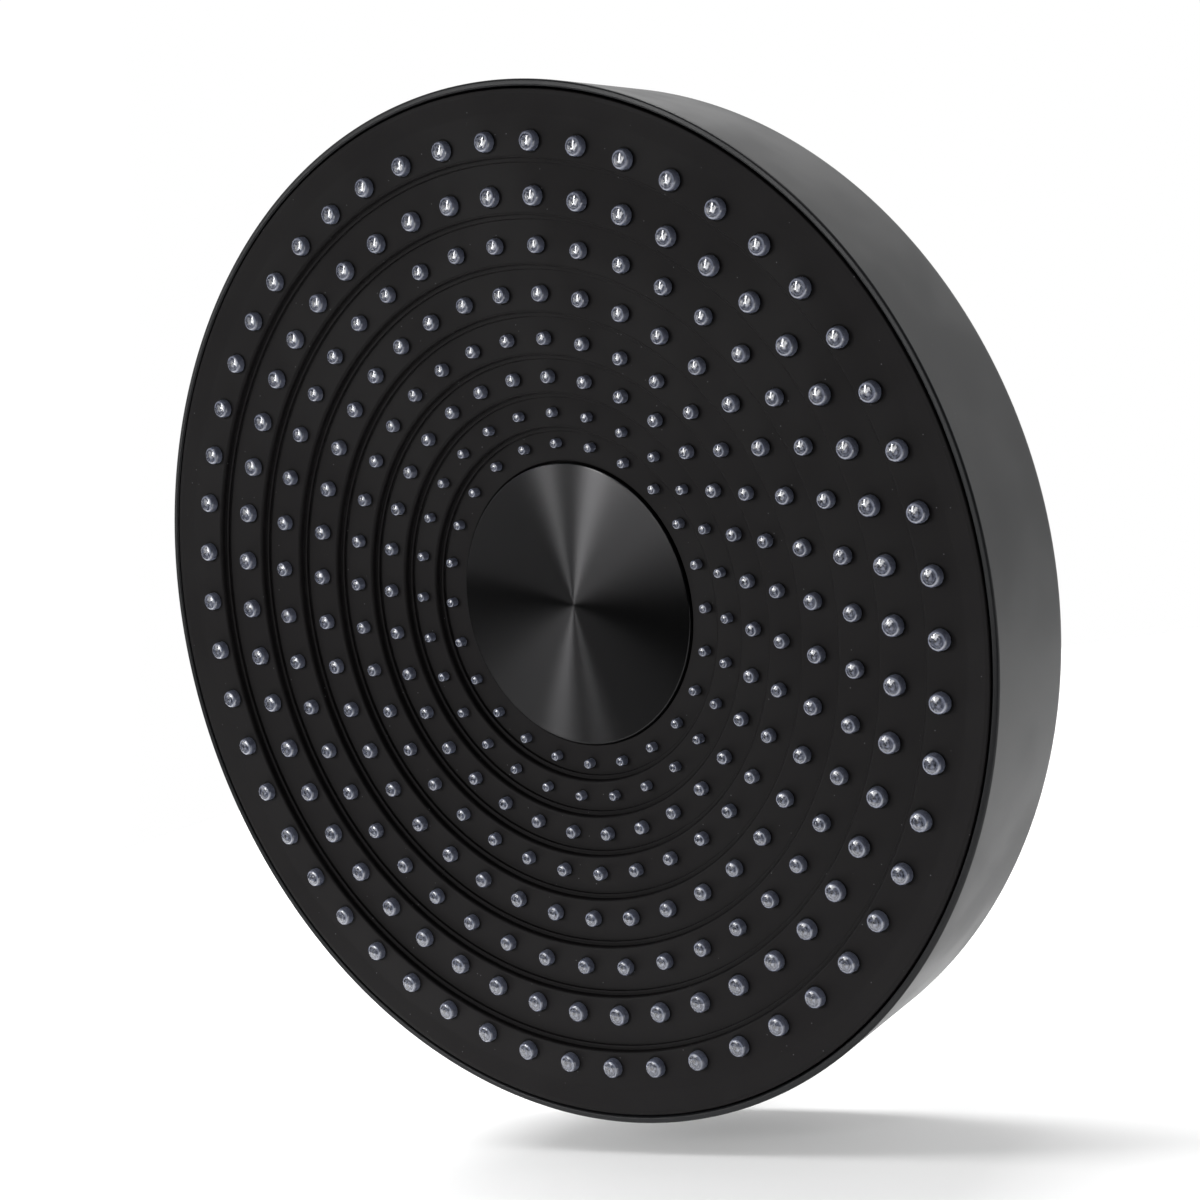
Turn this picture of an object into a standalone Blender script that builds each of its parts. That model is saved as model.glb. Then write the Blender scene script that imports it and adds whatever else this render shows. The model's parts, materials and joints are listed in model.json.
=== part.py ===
"""Rainfall shower head on a ball joint: one named object for each physical piece.

Frame: metres, +Z up, the head hangs face down. The origin is the centre of the inlet's
mouth, where the head screws onto its arm, and everything else lies below it on the Z axis.
Heights called LIFT are measured upwards from the rim plane, the lowest edge of the casing.
"""

import math

import bmesh
import bpy
from mathutils import Matrix

Shape = bmesh.types.BMesh
Object = bpy.types.Object
Finish = bpy.types.Material
Outline = list[tuple[float, float]]
Place = tuple[float, float, float]

# ---------------------------------------------------------------- driving dimensions, metres
GAP = 0.0003  # left between two pieces that touch

# Face: rings of nozzles on flat bands, each band one step deeper than the one outside it
HEAD_DIAMETER = 0.250
RIM_TO_OUTER_RING = 0.0137
DISC_RADIUS = 0.0349
DISC_TO_INNER_RING = 0.0048
RING_SPREAD = (7.7, 8.8, 9.3, 10.7, 11.4, 11.3, 12.4)  # the gaps between rings, as proportions
WALL_PLACES = (0.51, 0.53, 0.56, 0.57, 0.58, 0.61, 0.685)  # each step's wall, across its gap
NOZZLE_COUNTS = (24, 28, 32, 36, 40, 44, 48, 52)
NOZZLE_DIAMETERS = (0.0023, 0.0023, 0.0032, 0.0032, 0.0039, 0.0039, 0.00475, 0.00475)
NOZZLE_REACH = 0.0021  # how far a nozzle stands out of its band
FACE_STEP = 0.00243
OUTER_BAND_LIFT = 0.0010
PLATE_THICKNESS = 0.0024
STEP_WALL = 0.0009
STRIP_THICKNESS = 0.0012

# Plate's border, and the raised rim behind it that the cover is screwed to
LIP_WIDTH = 0.0016
SEAM_WIDTH = 0.0005
BORDER_LAND = 0.0013
BORDER_BEVEL = 0.0048
RIM_WIDTH = 0.0053
RIM_LIFT = 0.0074
RIM_DRAFT = 0.0007

# Centre disc in its recess
DISC_PROUD = 0.00075  # how far the disc's face stands forward of the innermost band
DISC_THICKNESS = 0.0015
DISC_CHAMFER = 0.0004
PAD_THICKNESS = 0.0008
PAD_INSET = 0.0020

# Casing
SIDE_HEIGHT = 0.0315
SIDE_DRAFT = 0.0024
BACK_ROUNDING = 0.0021
BACK_ROUNDING_ANGLES = (0, 30, 60, 90)  # degrees from level
CASING_RISE = 0.0039  # from the back's outer edge to its middle
CASING_THICKNESS = 0.0020
LIP_ROUNDING = 0.0005

# Water chamber's cover, with the threaded neck
SKIRT_WALL = 0.0029
COVER_THICKNESS = 0.0025
COVER_FLAT_RADIUS = 0.038
CHAMBER_DEPTH = 0.0025
CHAMBER_EDGE_DEPTH = 0.0051
FLANGE_EDGE_INSET = 0.00045  # inside the plate's own edge
SEAL_SECTION = 0.0014
GROOVE_DEPTH = 0.0017
NECK_RADIUS = 0.0155
NECK_THREAD_LENGTH = 0.0139
BOSS_RADIUS = 0.0190
WATERWAY_RADIUS = 0.0065
WASHER_THICKNESS = 0.0010
WASHER_RADIUS = 0.0200

# Cover's screws
SCREW_COUNT = 6
SCREW_INSET = 0.0005  # from the middle of the rim, towards the axis
SCREW_RADIUS = 0.0013
SCREW_LENGTH = 0.0068
SCREW_HEAD_RADIUS = 0.0020
SCREW_HEAD_HEIGHT = 0.0016
SCREW_RECESS_RADIUS = 0.0010
SCREW_RECESS_DEPTH = 0.0009

# Ball joint
BALL_RADIUS = 0.0110
SEAT_THICKNESS = 0.0015
UPPER_SEAT_ANGLES = (55, 78)  # degrees from straight up, about the ball's centre
LOWER_SEAT_ANGLES = (105, 140)
COLLAR_LIP_ANGLE = 48
COLLAR_ABOVE_CENTRE = 0.0125
COLLAR_MOUTH_FLARE = 0.0016
COLLAR_WALL = 0.0022
COLLAR_SHOULDER = 0.0035
COLLAR_TOP_LAND = 0.0040
COLLAR_CHAMFER = 0.0015
NECK_ABOVE_CENTRE = 0.0020

# Stem, with the inlet's socket
STEM_FLATS = 0.026
STEM_HEX_HEIGHT = 0.0170
STEM_NECK_RADIUS = 0.0065
STEM_BORE_RADIUS = 0.0045
STEM_REACH = 0.0186  # from the hexagon's underside to the ball's centre
STEM_CHAMFER = 0.0015
SOCKET_RADIUS = 0.0093
SOCKET_DEPTH = 0.0130
SOCKET_CHAMFER = 0.0008
GASKET_HOLE = 0.0052
GASKET_THICKNESS = 0.0020
SCREEN_THICKNESS = 0.0005
RESTRICTOR_FLANGE_RADIUS = 0.0068
RESTRICTOR_FLANGE = 0.0010
RESTRICTOR_LENGTH = 0.0060
RESTRICTOR_HOLE = 0.0016

# Fineness of the solids
NOZZLE_SIDES = (4, 4, 4, 4, 5, 5, 5, 5)
LARGE_SEGMENTS = 32
JOINT_SEGMENTS = 24
SMALL_SEGMENTS = 16
SCREW_SEGMENTS = 8
SEAL_SIDES = 6
ARC_STEP = 15  # degrees
SHARP_ANGLE = 30  # degrees
CUT_MARGIN = 0.0010  # how far a cutter runs past what it cuts

# ---------------------------------------------------------------- places worked out from them
HEAD_RADIUS = HEAD_DIAMETER / 2
RING_COUNT = len(NOZZLE_COUNTS)
INNER_RING = DISC_RADIUS + DISC_TO_INNER_RING
RING_SPAN = HEAD_RADIUS - RIM_TO_OUTER_RING - INNER_RING
RING_RADII = [
    INNER_RING + RING_SPAN * sum(RING_SPREAD[:k]) / sum(RING_SPREAD) for k in range(RING_COUNT)
]
WALL_RADII = [
    inner + share * (outer - inner)
    for inner, outer, share in zip(RING_RADII, RING_RADII[1:], WALL_PLACES)
]
BAND_LIFTS = [OUTER_BAND_LIFT + FACE_STEP * (RING_COUNT - 1 - k) for k in range(RING_COUNT)]

PLATE_RADIUS = HEAD_RADIUS - LIP_WIDTH - SEAM_WIDTH
RIM_INNER = PLATE_RADIUS - RIM_WIDTH
SKIRT_OUTER = RIM_INNER - GAP
SKIRT_INNER = SKIRT_OUTER - SKIRT_WALL
RECESS_RADIUS = DISC_RADIUS + GAP
RECESS_WALL_OUTER = RECESS_RADIUS + STEP_WALL
DISC_LIFT = BAND_LIFTS[0] - DISC_PROUD
PAD_LIFT = DISC_LIFT + DISC_THICKNESS + GAP
RECESS_LIFT = PAD_LIFT + PAD_THICKNESS + GAP
PLATE_TOP_LIFT = RECESS_LIFT + PLATE_THICKNESS
CHAMBER_LIFT = PLATE_TOP_LIFT + CHAMBER_DEPTH
COVER_LIFT = CHAMBER_LIFT + COVER_THICKNESS
SKIRT_LIFT = BAND_LIFTS[-1] + PLATE_THICKNESS + GAP
FLANGE_LIFT = RIM_LIFT + GAP
SIDE_TOP_RADIUS = HEAD_RADIUS - SIDE_DRAFT
BACK_EDGE_LIFT = SIDE_HEIGHT + BACK_ROUNDING
CASING_TOP_LIFT = BACK_EDGE_LIFT + CASING_RISE
BOSS_LIFT = CASING_TOP_LIFT - CASING_THICKNESS - GAP
WASHER_LIFT = CASING_TOP_LIFT + GAP
COLLAR_LIFT = WASHER_LIFT + WASHER_THICKNESS + GAP
NECK_TOP_LIFT = BOSS_LIFT + NECK_THREAD_LENGTH
BALL_LIFT = NECK_TOP_LIFT - NECK_ABOVE_CENTRE
SEAT_INNER = BALL_RADIUS + GAP
SEAT_OUTER = SEAT_INNER + SEAT_THICKNESS
BOWL_RADIUS = SEAT_OUTER + GAP
BALL_Z = -STEM_HEX_HEIGHT - STEM_REACH
RIM_Z = BALL_Z - BALL_LIFT
SCREW_CIRCLE = (RIM_INNER + PLATE_RADIUS - RIM_DRAFT) / 2 - SCREW_INSET


# ---------------------------------------------------------------- tools
def clear_scene() -> None:
    """Removes every object that the scene starts with."""
    for item in list(bpy.data.objects):
        bpy.data.objects.remove(item, do_unlink=True)


def material(
    name: str, colour: tuple[float, float, float], roughness: float, metallic: float = 0.0
) -> Finish:
    """A Principled material of one colour."""
    made = bpy.data.materials.new(name)
    made.use_nodes = True
    shader = made.node_tree.nodes["Principled BSDF"]
    shader.inputs["Base Color"].default_value = (*colour, 1.0)
    shader.inputs["Roughness"].default_value = roughness
    shader.inputs["Metallic"].default_value = metallic
    made.diffuse_color = (*colour, 1.0)
    return made


def add_object(name: str, shape: Shape, finish: Finish | None = None) -> Object:
    """Puts a finished bmesh into the scene, faces outwards."""
    bmesh.ops.recalc_face_normals(shape, faces=shape.faces)
    if shape.calc_volume(signed=True) < 0:
        bmesh.ops.reverse_faces(shape, faces=shape.faces)
    mesh = bpy.data.meshes.new(name)
    shape.to_mesh(mesh)
    shape.free()
    made = bpy.data.objects.new(name, mesh)
    bpy.context.scene.collection.objects.link(made)
    if finish is not None:
        mesh.materials.append(finish)
        mesh.shade_smooth()
        mesh.set_sharp_from_angle(angle=math.radians(SHARP_ANGLE))
    return made


def spun(profile: Outline, segments: int) -> Shape:
    """Turns a closed outline of (radius, height) points once about Z."""
    shape = bmesh.new()
    points = [shape.verts.new((radius, 0.0, height)) for radius, height in profile]
    edges = [shape.edges.new((a, b)) for a, b in zip(points, points[1:] + points[:1])]
    bmesh.ops.spin(
        shape,
        geom=points + edges,
        cent=(0, 0, 0),
        axis=(0, 0, 1),
        angle=math.tau,
        steps=segments,
        use_merge=True,
    )
    bmesh.ops.remove_doubles(shape, verts=shape.verts, dist=1e-7)
    bmesh.ops.dissolve_degenerate(shape, dist=1e-7, edges=shape.edges)
    return shape


def turned(name: str, profile: Outline, segments: int, finish: Finish) -> Object:
    """A turned piece, as its own object."""
    return add_object(name, spun(profile, segments), finish)


def add_prism(
    shape: Shape, sides: int, radius: float, low: float, high: float, place: Place = (0.0, 0.0, 0.0)
) -> None:
    """Adds an upright prism of a corner radius to a bmesh, at a place given as x, y and turn."""
    x, y, turn = place
    angles = [turn + math.tau * k / sides for k in range(sides)]
    corners = [(x + radius * math.cos(a), y + radius * math.sin(a)) for a in angles]
    base = [shape.verts.new((*corner, low)) for corner in corners]
    cap = shape.faces.new(base)
    raised = bmesh.ops.extrude_face_region(shape, geom=[cap])["geom"]
    tops = [item for item in raised if isinstance(item, bmesh.types.BMVert)]
    bmesh.ops.translate(shape, verts=tops, vec=(0, 0, high - low))


def combine(target: Object, other: Object, operation: str) -> None:
    """Adds a Boolean to the target, and makes the other object a hidden helper."""
    other.hide_render = True
    other.display_type = "WIRE"
    modifier = target.modifiers.new(f"{operation.lower()}_{other.name}", "BOOLEAN")
    modifier.operation = operation
    modifier.solver = "EXACT"
    modifier.object = other


def arc(radius: float, start: float, end: float, height: float) -> Outline:
    """Points on a circle about the axis point at a height, by degrees from straight up."""
    count = max(2, round(abs(end - start) / ARC_STEP) + 1)
    angles = [math.radians(start + (end - start) * k / (count - 1)) for k in range(count)]
    return [(radius * math.sin(a), height + radius * math.cos(a)) for a in angles]


def up(radius: float, lift: float) -> tuple[float, float]:
    """An outline point at a height above the rim plane."""
    return radius, RIM_Z + lift


def hang_from(pivot: Object, pieces: list[Object]) -> None:
    """Gives each piece its origin at the pivot, with its helpers, and parents it there."""
    height = pivot.location.z
    for piece in pieces:
        helpers = [modifier.object for modifier in piece.modifiers]
        for item in [piece, *helpers]:
            item.data.transform(Matrix.Translation((0, 0, -height)))
            item.parent = pivot


# ---------------------------------------------------------------- face
def ring_places(ring: int) -> list[Place]:
    """(x, y, turn) of each nozzle of a ring."""
    turns = [math.tau * k / NOZZLE_COUNTS[ring] for k in range(NOZZLE_COUNTS[ring])]
    radius = RING_RADII[ring]
    return [(radius * math.cos(t), radius * math.sin(t), t) for t in turns]


def back_wall(ring: int) -> float:
    """Radius of the step behind the plate that a ring's strip starts outside of."""
    return RECESS_WALL_OUTER if ring == 0 else WALL_RADII[ring - 1] + STEP_WALL


def face_plate(finish: Finish) -> Object:
    """Stepped plate with a hole for each nozzle, a disc recess and a raised screw rim."""
    front = [up(0, RECESS_LIFT), up(RECESS_RADIUS, RECESS_LIFT), up(RECESS_RADIUS, BAND_LIFTS[0])]
    for ring, wall in enumerate(WALL_RADII):
        front += [up(wall, BAND_LIFTS[ring]), up(wall, BAND_LIFTS[ring + 1])]
    bevel_end = PLATE_RADIUS - BORDER_LAND
    front += [up(bevel_end - BORDER_BEVEL, BAND_LIFTS[-1]), up(bevel_end, 0), up(PLATE_RADIUS, 0)]
    rim = [
        up(PLATE_RADIUS, LIP_WIDTH),
        up(PLATE_RADIUS - RIM_DRAFT, RIM_LIFT),
        up(RIM_INNER, RIM_LIFT),
        up(RIM_INNER, BAND_LIFTS[-1] + PLATE_THICKNESS),
    ]
    back = []
    for ring in reversed(range(RING_COUNT)):
        lift = BAND_LIFTS[ring] + PLATE_THICKNESS
        above = PLATE_TOP_LIFT if ring == 0 else lift + FACE_STEP
        back += [up(back_wall(ring), lift), up(back_wall(ring), above)]
    plate = turned("face_plate", front + rim + back + [up(0, PLATE_TOP_LIFT)], LARGE_SEGMENTS, finish)

    holes = bmesh.new()
    for ring in range(RING_COUNT):
        low = RIM_Z + BAND_LIFTS[ring] - CUT_MARGIN
        high = low + PLATE_THICKNESS + 2 * CUT_MARGIN
        sides = NOZZLE_SIDES[ring]
        radius = NOZZLE_DIAMETERS[ring] / 2 + GAP / math.cos(math.pi / sides)
        for place in ring_places(ring):
            add_prism(holes, sides, radius, low, high, place)
    rim_top = RIM_Z + RIM_LIFT
    screw_hole_end = rim_top - (SCREW_LENGTH - COVER_THICKNESS) - 2 * GAP
    for place in screw_places():
        add_prism(
            holes, SCREW_SEGMENTS, SCREW_RADIUS + GAP, screw_hole_end, rim_top + CUT_MARGIN, place
        )
    combine(plate, add_object("plate_holes", holes), "DIFFERENCE")
    return plate


def nozzle_ring(ring: int, finish: Finish) -> Object:
    """Flat silicone strip behind one band, with its nozzles standing out through the plate."""
    low = BAND_LIFTS[ring] + PLATE_THICKNESS + GAP
    high = low + STRIP_THICKNESS
    inner = back_wall(ring) + GAP
    last = ring == RING_COUNT - 1
    outer = (SKIRT_INNER if last else back_wall(ring + 1)) - GAP
    strip = [up(inner, low), up(outer, low), up(outer, high), up(inner, high)]
    made = turned(f"nozzle_ring_{ring + 1}", strip, LARGE_SEGMENTS, finish)
    nozzles = bmesh.new()
    tip = RIM_Z + BAND_LIFTS[ring] - NOZZLE_REACH
    root = RIM_Z + low + STRIP_THICKNESS / 2
    for place in ring_places(ring):
        add_prism(nozzles, NOZZLE_SIDES[ring], NOZZLE_DIAMETERS[ring] / 2, tip, root, place)
    combine(made, add_object(f"ring_{ring + 1}_nozzles", nozzles), "UNION")
    return made


def centre_disc(finish: Finish) -> Object:
    """Round metal disc with a chamfered front edge."""
    front = DISC_LIFT
    back = DISC_LIFT + DISC_THICKNESS
    outline = [
        up(0, front),
        up(DISC_RADIUS - DISC_CHAMFER, front),
        up(DISC_RADIUS, front + DISC_CHAMFER),
        up(DISC_RADIUS, back),
        up(0, back),
    ]
    return turned("centre_disc", outline, LARGE_SEGMENTS, finish)


def disc_pad(finish: Finish) -> Object:
    """Adhesive pad that holds the disc in its recess."""
    radius = DISC_RADIUS - PAD_INSET
    outline = [
        up(0, PAD_LIFT),
        up(radius, PAD_LIFT),
        up(radius, PAD_LIFT + PAD_THICKNESS),
        up(0, PAD_LIFT + PAD_THICKNESS),
    ]
    return turned("disc_pad", outline, SMALL_SEGMENTS, finish)


# ---------------------------------------------------------------- body of the head
def casing(finish: Finish) -> Object:
    """Outer shell: drafted side wall, rounded back edge and low domed back."""
    corner = SIDE_TOP_RADIUS - BACK_ROUNDING
    hole = NECK_RADIUS + GAP
    lip_inner = HEAD_RADIUS - LIP_WIDTH
    rounding = []
    for angle in BACK_ROUNDING_ANGLES:
        turn = math.radians(angle)
        radius = corner + BACK_ROUNDING * math.cos(turn)
        rounding.append(up(radius, SIDE_HEIGHT + BACK_ROUNDING * math.sin(turn)))
    outline = [
        up(lip_inner, LIP_ROUNDING),
        up(lip_inner + LIP_ROUNDING / 2, 0),
        up(HEAD_RADIUS - LIP_ROUNDING, 0),
        up(HEAD_RADIUS, LIP_ROUNDING),
        *rounding,
        up(BOSS_RADIUS, CASING_TOP_LIFT),
        up(hole, CASING_TOP_LIFT),
        up(hole, CASING_TOP_LIFT - CASING_THICKNESS),
        up(BOSS_RADIUS, CASING_TOP_LIFT - CASING_THICKNESS),
        up(corner - BACK_ROUNDING, BACK_EDGE_LIFT - CASING_THICKNESS),
        up(SIDE_TOP_RADIUS - LIP_WIDTH, SIDE_HEIGHT - BACK_ROUNDING),
    ]
    return turned("casing", outline, LARGE_SEGMENTS, finish)


def chamber_cover(finish: Finish) -> Object:
    """Lid of the water chamber: skirt, screw flange, cone, boss, threaded neck and ball bowl."""
    edge = SKIRT_LIFT + CHAMBER_EDGE_DEPTH
    flange_outer = PLATE_RADIUS - RIM_DRAFT - FLANGE_EDGE_INSET
    flange_top = FLANGE_LIFT + COVER_THICKNESS
    groove_low = (SKIRT_LIFT + FLANGE_LIFT - SEAL_SECTION) / 2 - GAP
    groove_high = groove_low + SEAL_SECTION + 2 * GAP
    groove = SKIRT_OUTER - GROOVE_DEPTH
    outline = [
        up(WATERWAY_RADIUS, CHAMBER_LIFT),
        up(COVER_FLAT_RADIUS, CHAMBER_LIFT),
        up(SKIRT_INNER, edge),
        up(SKIRT_INNER, SKIRT_LIFT),
        up(SKIRT_OUTER, SKIRT_LIFT),
        up(SKIRT_OUTER, groove_low),
        up(groove, groove_low),
        up(groove, groove_high),
        up(SKIRT_OUTER, groove_high),
        up(SKIRT_OUTER, FLANGE_LIFT),
        up(flange_outer, FLANGE_LIFT),
        up(flange_outer, flange_top),
        up(SKIRT_OUTER, flange_top),
        up(SKIRT_INNER, edge + COVER_THICKNESS),
        up(COVER_FLAT_RADIUS, COVER_LIFT),
        up(BOSS_RADIUS, COVER_LIFT),
        up(BOSS_RADIUS, BOSS_LIFT),
        up(NECK_RADIUS, BOSS_LIFT),
        up(NECK_RADIUS, NECK_TOP_LIFT),
        up(BOWL_RADIUS, NECK_TOP_LIFT),
    ]
    last = 180 - math.degrees(math.asin(WATERWAY_RADIUS / BOWL_RADIUS))
    outline += arc(BOWL_RADIUS, 90, last, BALL_Z)
    cover = turned("chamber_cover", outline, LARGE_SEGMENTS, finish)
    holes = bmesh.new()
    low = RIM_Z + FLANGE_LIFT - CUT_MARGIN
    high = RIM_Z + flange_top + CUT_MARGIN
    for place in screw_places():
        add_prism(holes, SCREW_SEGMENTS, SCREW_RADIUS + GAP, low, high, place)
    combine(cover, add_object("cover_holes", holes), "DIFFERENCE")
    return cover


def chamber_seal(finish: Finish) -> Object:
    """O-ring in the skirt's groove."""
    middle = RIM_Z + (SKIRT_LIFT + FLANGE_LIFT) / 2
    radius = SKIRT_OUTER - SEAL_SECTION / 2
    angles = [math.tau * k / SEAL_SIDES for k in range(SEAL_SIDES)]
    half = SEAL_SECTION / 2
    outline = [(radius + half * math.cos(a), middle + half * math.sin(a)) for a in angles]
    return turned("chamber_seal", outline, LARGE_SEGMENTS, finish)


def screw_places() -> list[Place]:
    """(x, y, turn) of each cover screw."""
    turns = [math.tau * (k + 0.5) / SCREW_COUNT for k in range(SCREW_COUNT)]
    return [(SCREW_CIRCLE * math.cos(t), SCREW_CIRCLE * math.sin(t), t) for t in turns]


def cover_screws(finish: Finish) -> list[Object]:
    """Pan-head screws that hold the cover's flange on the plate's rim."""
    under = GAP
    head = under + SCREW_HEAD_HEIGHT
    outline = [
        (0, head - SCREW_RECESS_DEPTH),
        (SCREW_RECESS_RADIUS, head - SCREW_RECESS_DEPTH),
        (SCREW_RECESS_RADIUS, head),
        (SCREW_HEAD_RADIUS, head),
        (SCREW_HEAD_RADIUS, under),
        (SCREW_RADIUS, under),
        (SCREW_RADIUS, under - SCREW_LENGTH),
        (0, under - SCREW_LENGTH),
    ]
    first = turned("cover_screw_1", outline, SCREW_SEGMENTS, finish)
    screws = [first]
    for number in range(2, SCREW_COUNT + 1):
        copy = bpy.data.objects.new(f"cover_screw_{number}", first.data)
        bpy.context.scene.collection.objects.link(copy)
        screws.append(copy)
    for screw, (x, y, turn) in zip(screws, screw_places()):
        screw.location = (x, y, RIM_Z + FLANGE_LIFT + COVER_THICKNESS)
        screw.rotation_euler = (0, 0, turn)
    return screws


def neck_washer(finish: Finish) -> Object:
    """Flat rubber washer between the casing's middle and the collar."""
    hole = NECK_RADIUS + GAP
    top = WASHER_LIFT + WASHER_THICKNESS
    outline = [
        up(hole, WASHER_LIFT),
        up(WASHER_RADIUS, WASHER_LIFT),
        up(WASHER_RADIUS, top),
        up(hole, top),
    ]
    return turned("neck_washer", outline, JOINT_SEGMENTS, finish)


# ---------------------------------------------------------------- ball joint
def hexagon(name: str, flats: float, low: float, high: float) -> Object:
    """Upright hexagonal helper of a width across flats."""
    shape = bmesh.new()
    add_prism(shape, 6, flats / math.sqrt(3), low, high)
    return add_object(name, shape)


def ball_collar(finish: Finish) -> Object:
    """Hexagonal union nut that holds the ball in the neck's bowl."""
    bore = NECK_RADIUS + GAP
    flats = 2 * (bore + COLLAR_WALL)
    corner = flats / math.sqrt(3) + GAP
    top = BALL_Z + COLLAR_ABOVE_CENTRE
    ledge = BALL_Z + NECK_ABOVE_CENTRE + GAP
    ledge_angle = math.degrees(math.acos((ledge - BALL_Z) / BOWL_RADIUS))
    mouth = BOWL_RADIUS * math.sin(math.radians(COLLAR_LIP_ANGLE)) + COLLAR_MOUTH_FLARE
    bottom = RIM_Z + COLLAR_LIFT
    outline = [
        (bore, bottom),
        (flats / 2, bottom),
        (corner, bottom + COLLAR_CHAMFER),
        (corner, top - COLLAR_SHOULDER - COLLAR_CHAMFER),
        (flats / 2, top - COLLAR_SHOULDER),
        (mouth + COLLAR_TOP_LAND, top),
        (mouth, top),
        *arc(BOWL_RADIUS, COLLAR_LIP_ANGLE, ledge_angle, BALL_Z),
        (bore, ledge),
    ]
    collar = turned("ball_collar", outline, LARGE_SEGMENTS, finish)
    combine(collar, hexagon("collar_hexagon", flats, bottom - CUT_MARGIN, top + CUT_MARGIN), "INTERSECT")
    return collar


def seat(name: str, angles: tuple[float, float], finish: Finish) -> Object:
    """Part-spherical seat ring round the ball."""
    start, end = angles
    outline = arc(SEAT_INNER, start, end, BALL_Z) + arc(SEAT_OUTER, end, start, BALL_Z)
    return turned(name, outline, JOINT_SEGMENTS, finish)


def ball_stem(finish: Finish) -> Object:
    """Hexagonal inlet socket, neck and ball in one turned piece with a waterway through it."""
    corner = STEM_FLATS / math.sqrt(3) + GAP
    land = STEM_FLATS / 2 - GAP
    neck_angle = math.degrees(math.asin(STEM_NECK_RADIUS / BALL_RADIUS))
    bore_angle = 180 - math.degrees(math.asin(STEM_BORE_RADIUS / BALL_RADIUS))
    outline = [
        (SOCKET_RADIUS + SOCKET_CHAMFER, 0),
        (land, 0),
        (corner, -STEM_CHAMFER),
        (corner, STEM_CHAMFER - STEM_HEX_HEIGHT),
        (land, -STEM_HEX_HEIGHT),
        (STEM_NECK_RADIUS, -STEM_HEX_HEIGHT),
        *arc(BALL_RADIUS, neck_angle, bore_angle, BALL_Z),
        (STEM_BORE_RADIUS, -SOCKET_DEPTH),
        (SOCKET_RADIUS, -SOCKET_DEPTH),
        (SOCKET_RADIUS, -SOCKET_CHAMFER),
    ]
    stem = turned("ball_stem", outline, JOINT_SEGMENTS, finish)
    low = BALL_Z - BALL_RADIUS - CUT_MARGIN
    combine(stem, hexagon("stem_hexagon", STEM_FLATS, low, CUT_MARGIN), "INTERSECT")
    return stem


# ---------------------------------------------------------------- inlet's loose pieces
def inlet_pieces(rubber: Finish, plastic: Finish, metal: Finish) -> None:
    """Flow restrictor, gasket and filter screen, stacked on the socket's floor."""
    flange_low = -SOCKET_DEPTH + GAP
    flange_top = flange_low + RESTRICTOR_FLANGE
    body = STEM_BORE_RADIUS - GAP
    restrictor = [
        (RESTRICTOR_HOLE, flange_low - RESTRICTOR_LENGTH),
        (body, flange_low - RESTRICTOR_LENGTH),
        (body, flange_low),
        (RESTRICTOR_FLANGE_RADIUS, flange_low),
        (RESTRICTOR_FLANGE_RADIUS, flange_top),
        (RESTRICTOR_HOLE, flange_top),
    ]
    gasket_low = flange_top + GAP
    gasket_top = gasket_low + GASKET_THICKNESS
    rim = SOCKET_RADIUS - GAP
    gasket = [
        (GASKET_HOLE, gasket_low),
        (rim, gasket_low),
        (rim, gasket_top),
        (GASKET_HOLE, gasket_top),
    ]
    screen_low = gasket_low + (GASKET_THICKNESS - SCREEN_THICKNESS) / 2
    screen_top = screen_low + SCREEN_THICKNESS
    screen_radius = GASKET_HOLE - GAP
    screen = [
        (0, screen_low),
        (screen_radius, screen_low),
        (screen_radius, screen_top),
        (0, screen_top),
    ]
    turned("flow_restrictor", restrictor, SMALL_SEGMENTS, plastic)
    turned("inlet_gasket", gasket, SMALL_SEGMENTS, rubber)
    turned("filter_screen", screen, SMALL_SEGMENTS, metal)


# ---------------------------------------------------------------- assembly
def main() -> None:
    """Builds every piece, and groups the moving ones under empties at the ball's centre."""
    clear_scene()
    matt_black = material("matt_black_plastic", (0.018, 0.017, 0.018), 0.42)
    satin_black = material("satin_black_plastic", (0.020, 0.021, 0.023), 0.30)
    silicone = material("clear_grey_silicone", (0.30, 0.32, 0.36), 0.35)
    spun_metal = material("black_spun_metal", (0.03, 0.03, 0.03), 0.22, 0.9)
    chamber_plastic = material("chamber_plastic", (0.16, 0.16, 0.17), 0.5)
    rubber = material("seal_rubber", (0.02, 0.02, 0.02), 0.7)
    foam = material("adhesive_foam", (0.55, 0.55, 0.53), 0.9)
    black_brass = material("black_coated_brass", (0.022, 0.022, 0.024), 0.28, 0.6)
    seat_plastic = material("seat_plastic", (0.75, 0.74, 0.70), 0.4)
    steel = material("screw_steel", (0.55, 0.55, 0.56), 0.3, 1.0)

    ball_stem(black_brass)
    inlet_pieces(rubber, seat_plastic, steel)
    moving = [
        seat("lower_seat", LOWER_SEAT_ANGLES, seat_plastic),
        seat("upper_seat", UPPER_SEAT_ANGLES, seat_plastic),
        ball_collar(black_brass),
        neck_washer(rubber),
        casing(satin_black),
        chamber_cover(chamber_plastic),
        chamber_seal(rubber),
        face_plate(matt_black),
        centre_disc(spun_metal),
        disc_pad(foam),
        *[nozzle_ring(ring, silicone) for ring in range(RING_COUNT)],
    ]
    pivot = bpy.data.objects.new("ball_centre", None)
    pivot.location = (0, 0, BALL_Z)
    bpy.context.scene.collection.objects.link(pivot)
    hang_from(pivot, moving)
    for screw in cover_screws(steel):
        screw.parent = pivot
        screw.location.z -= BALL_Z


main()
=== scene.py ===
"""Looks of the rainfall shower head: fine surfaces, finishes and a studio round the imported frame.

Every length is in metres, in the frame of the CAD model: +Z up, the head hangs face down from
the inlet's mouth at the origin. A "lift" is a height above the rim plane, the casing's lowest edge.
"""

import json
import logging
import math
from dataclasses import dataclass, field
from enum import Enum
from typing import Callable, Sequence

import bpy
import numpy as np
from mathutils import Matrix, Vector


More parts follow.
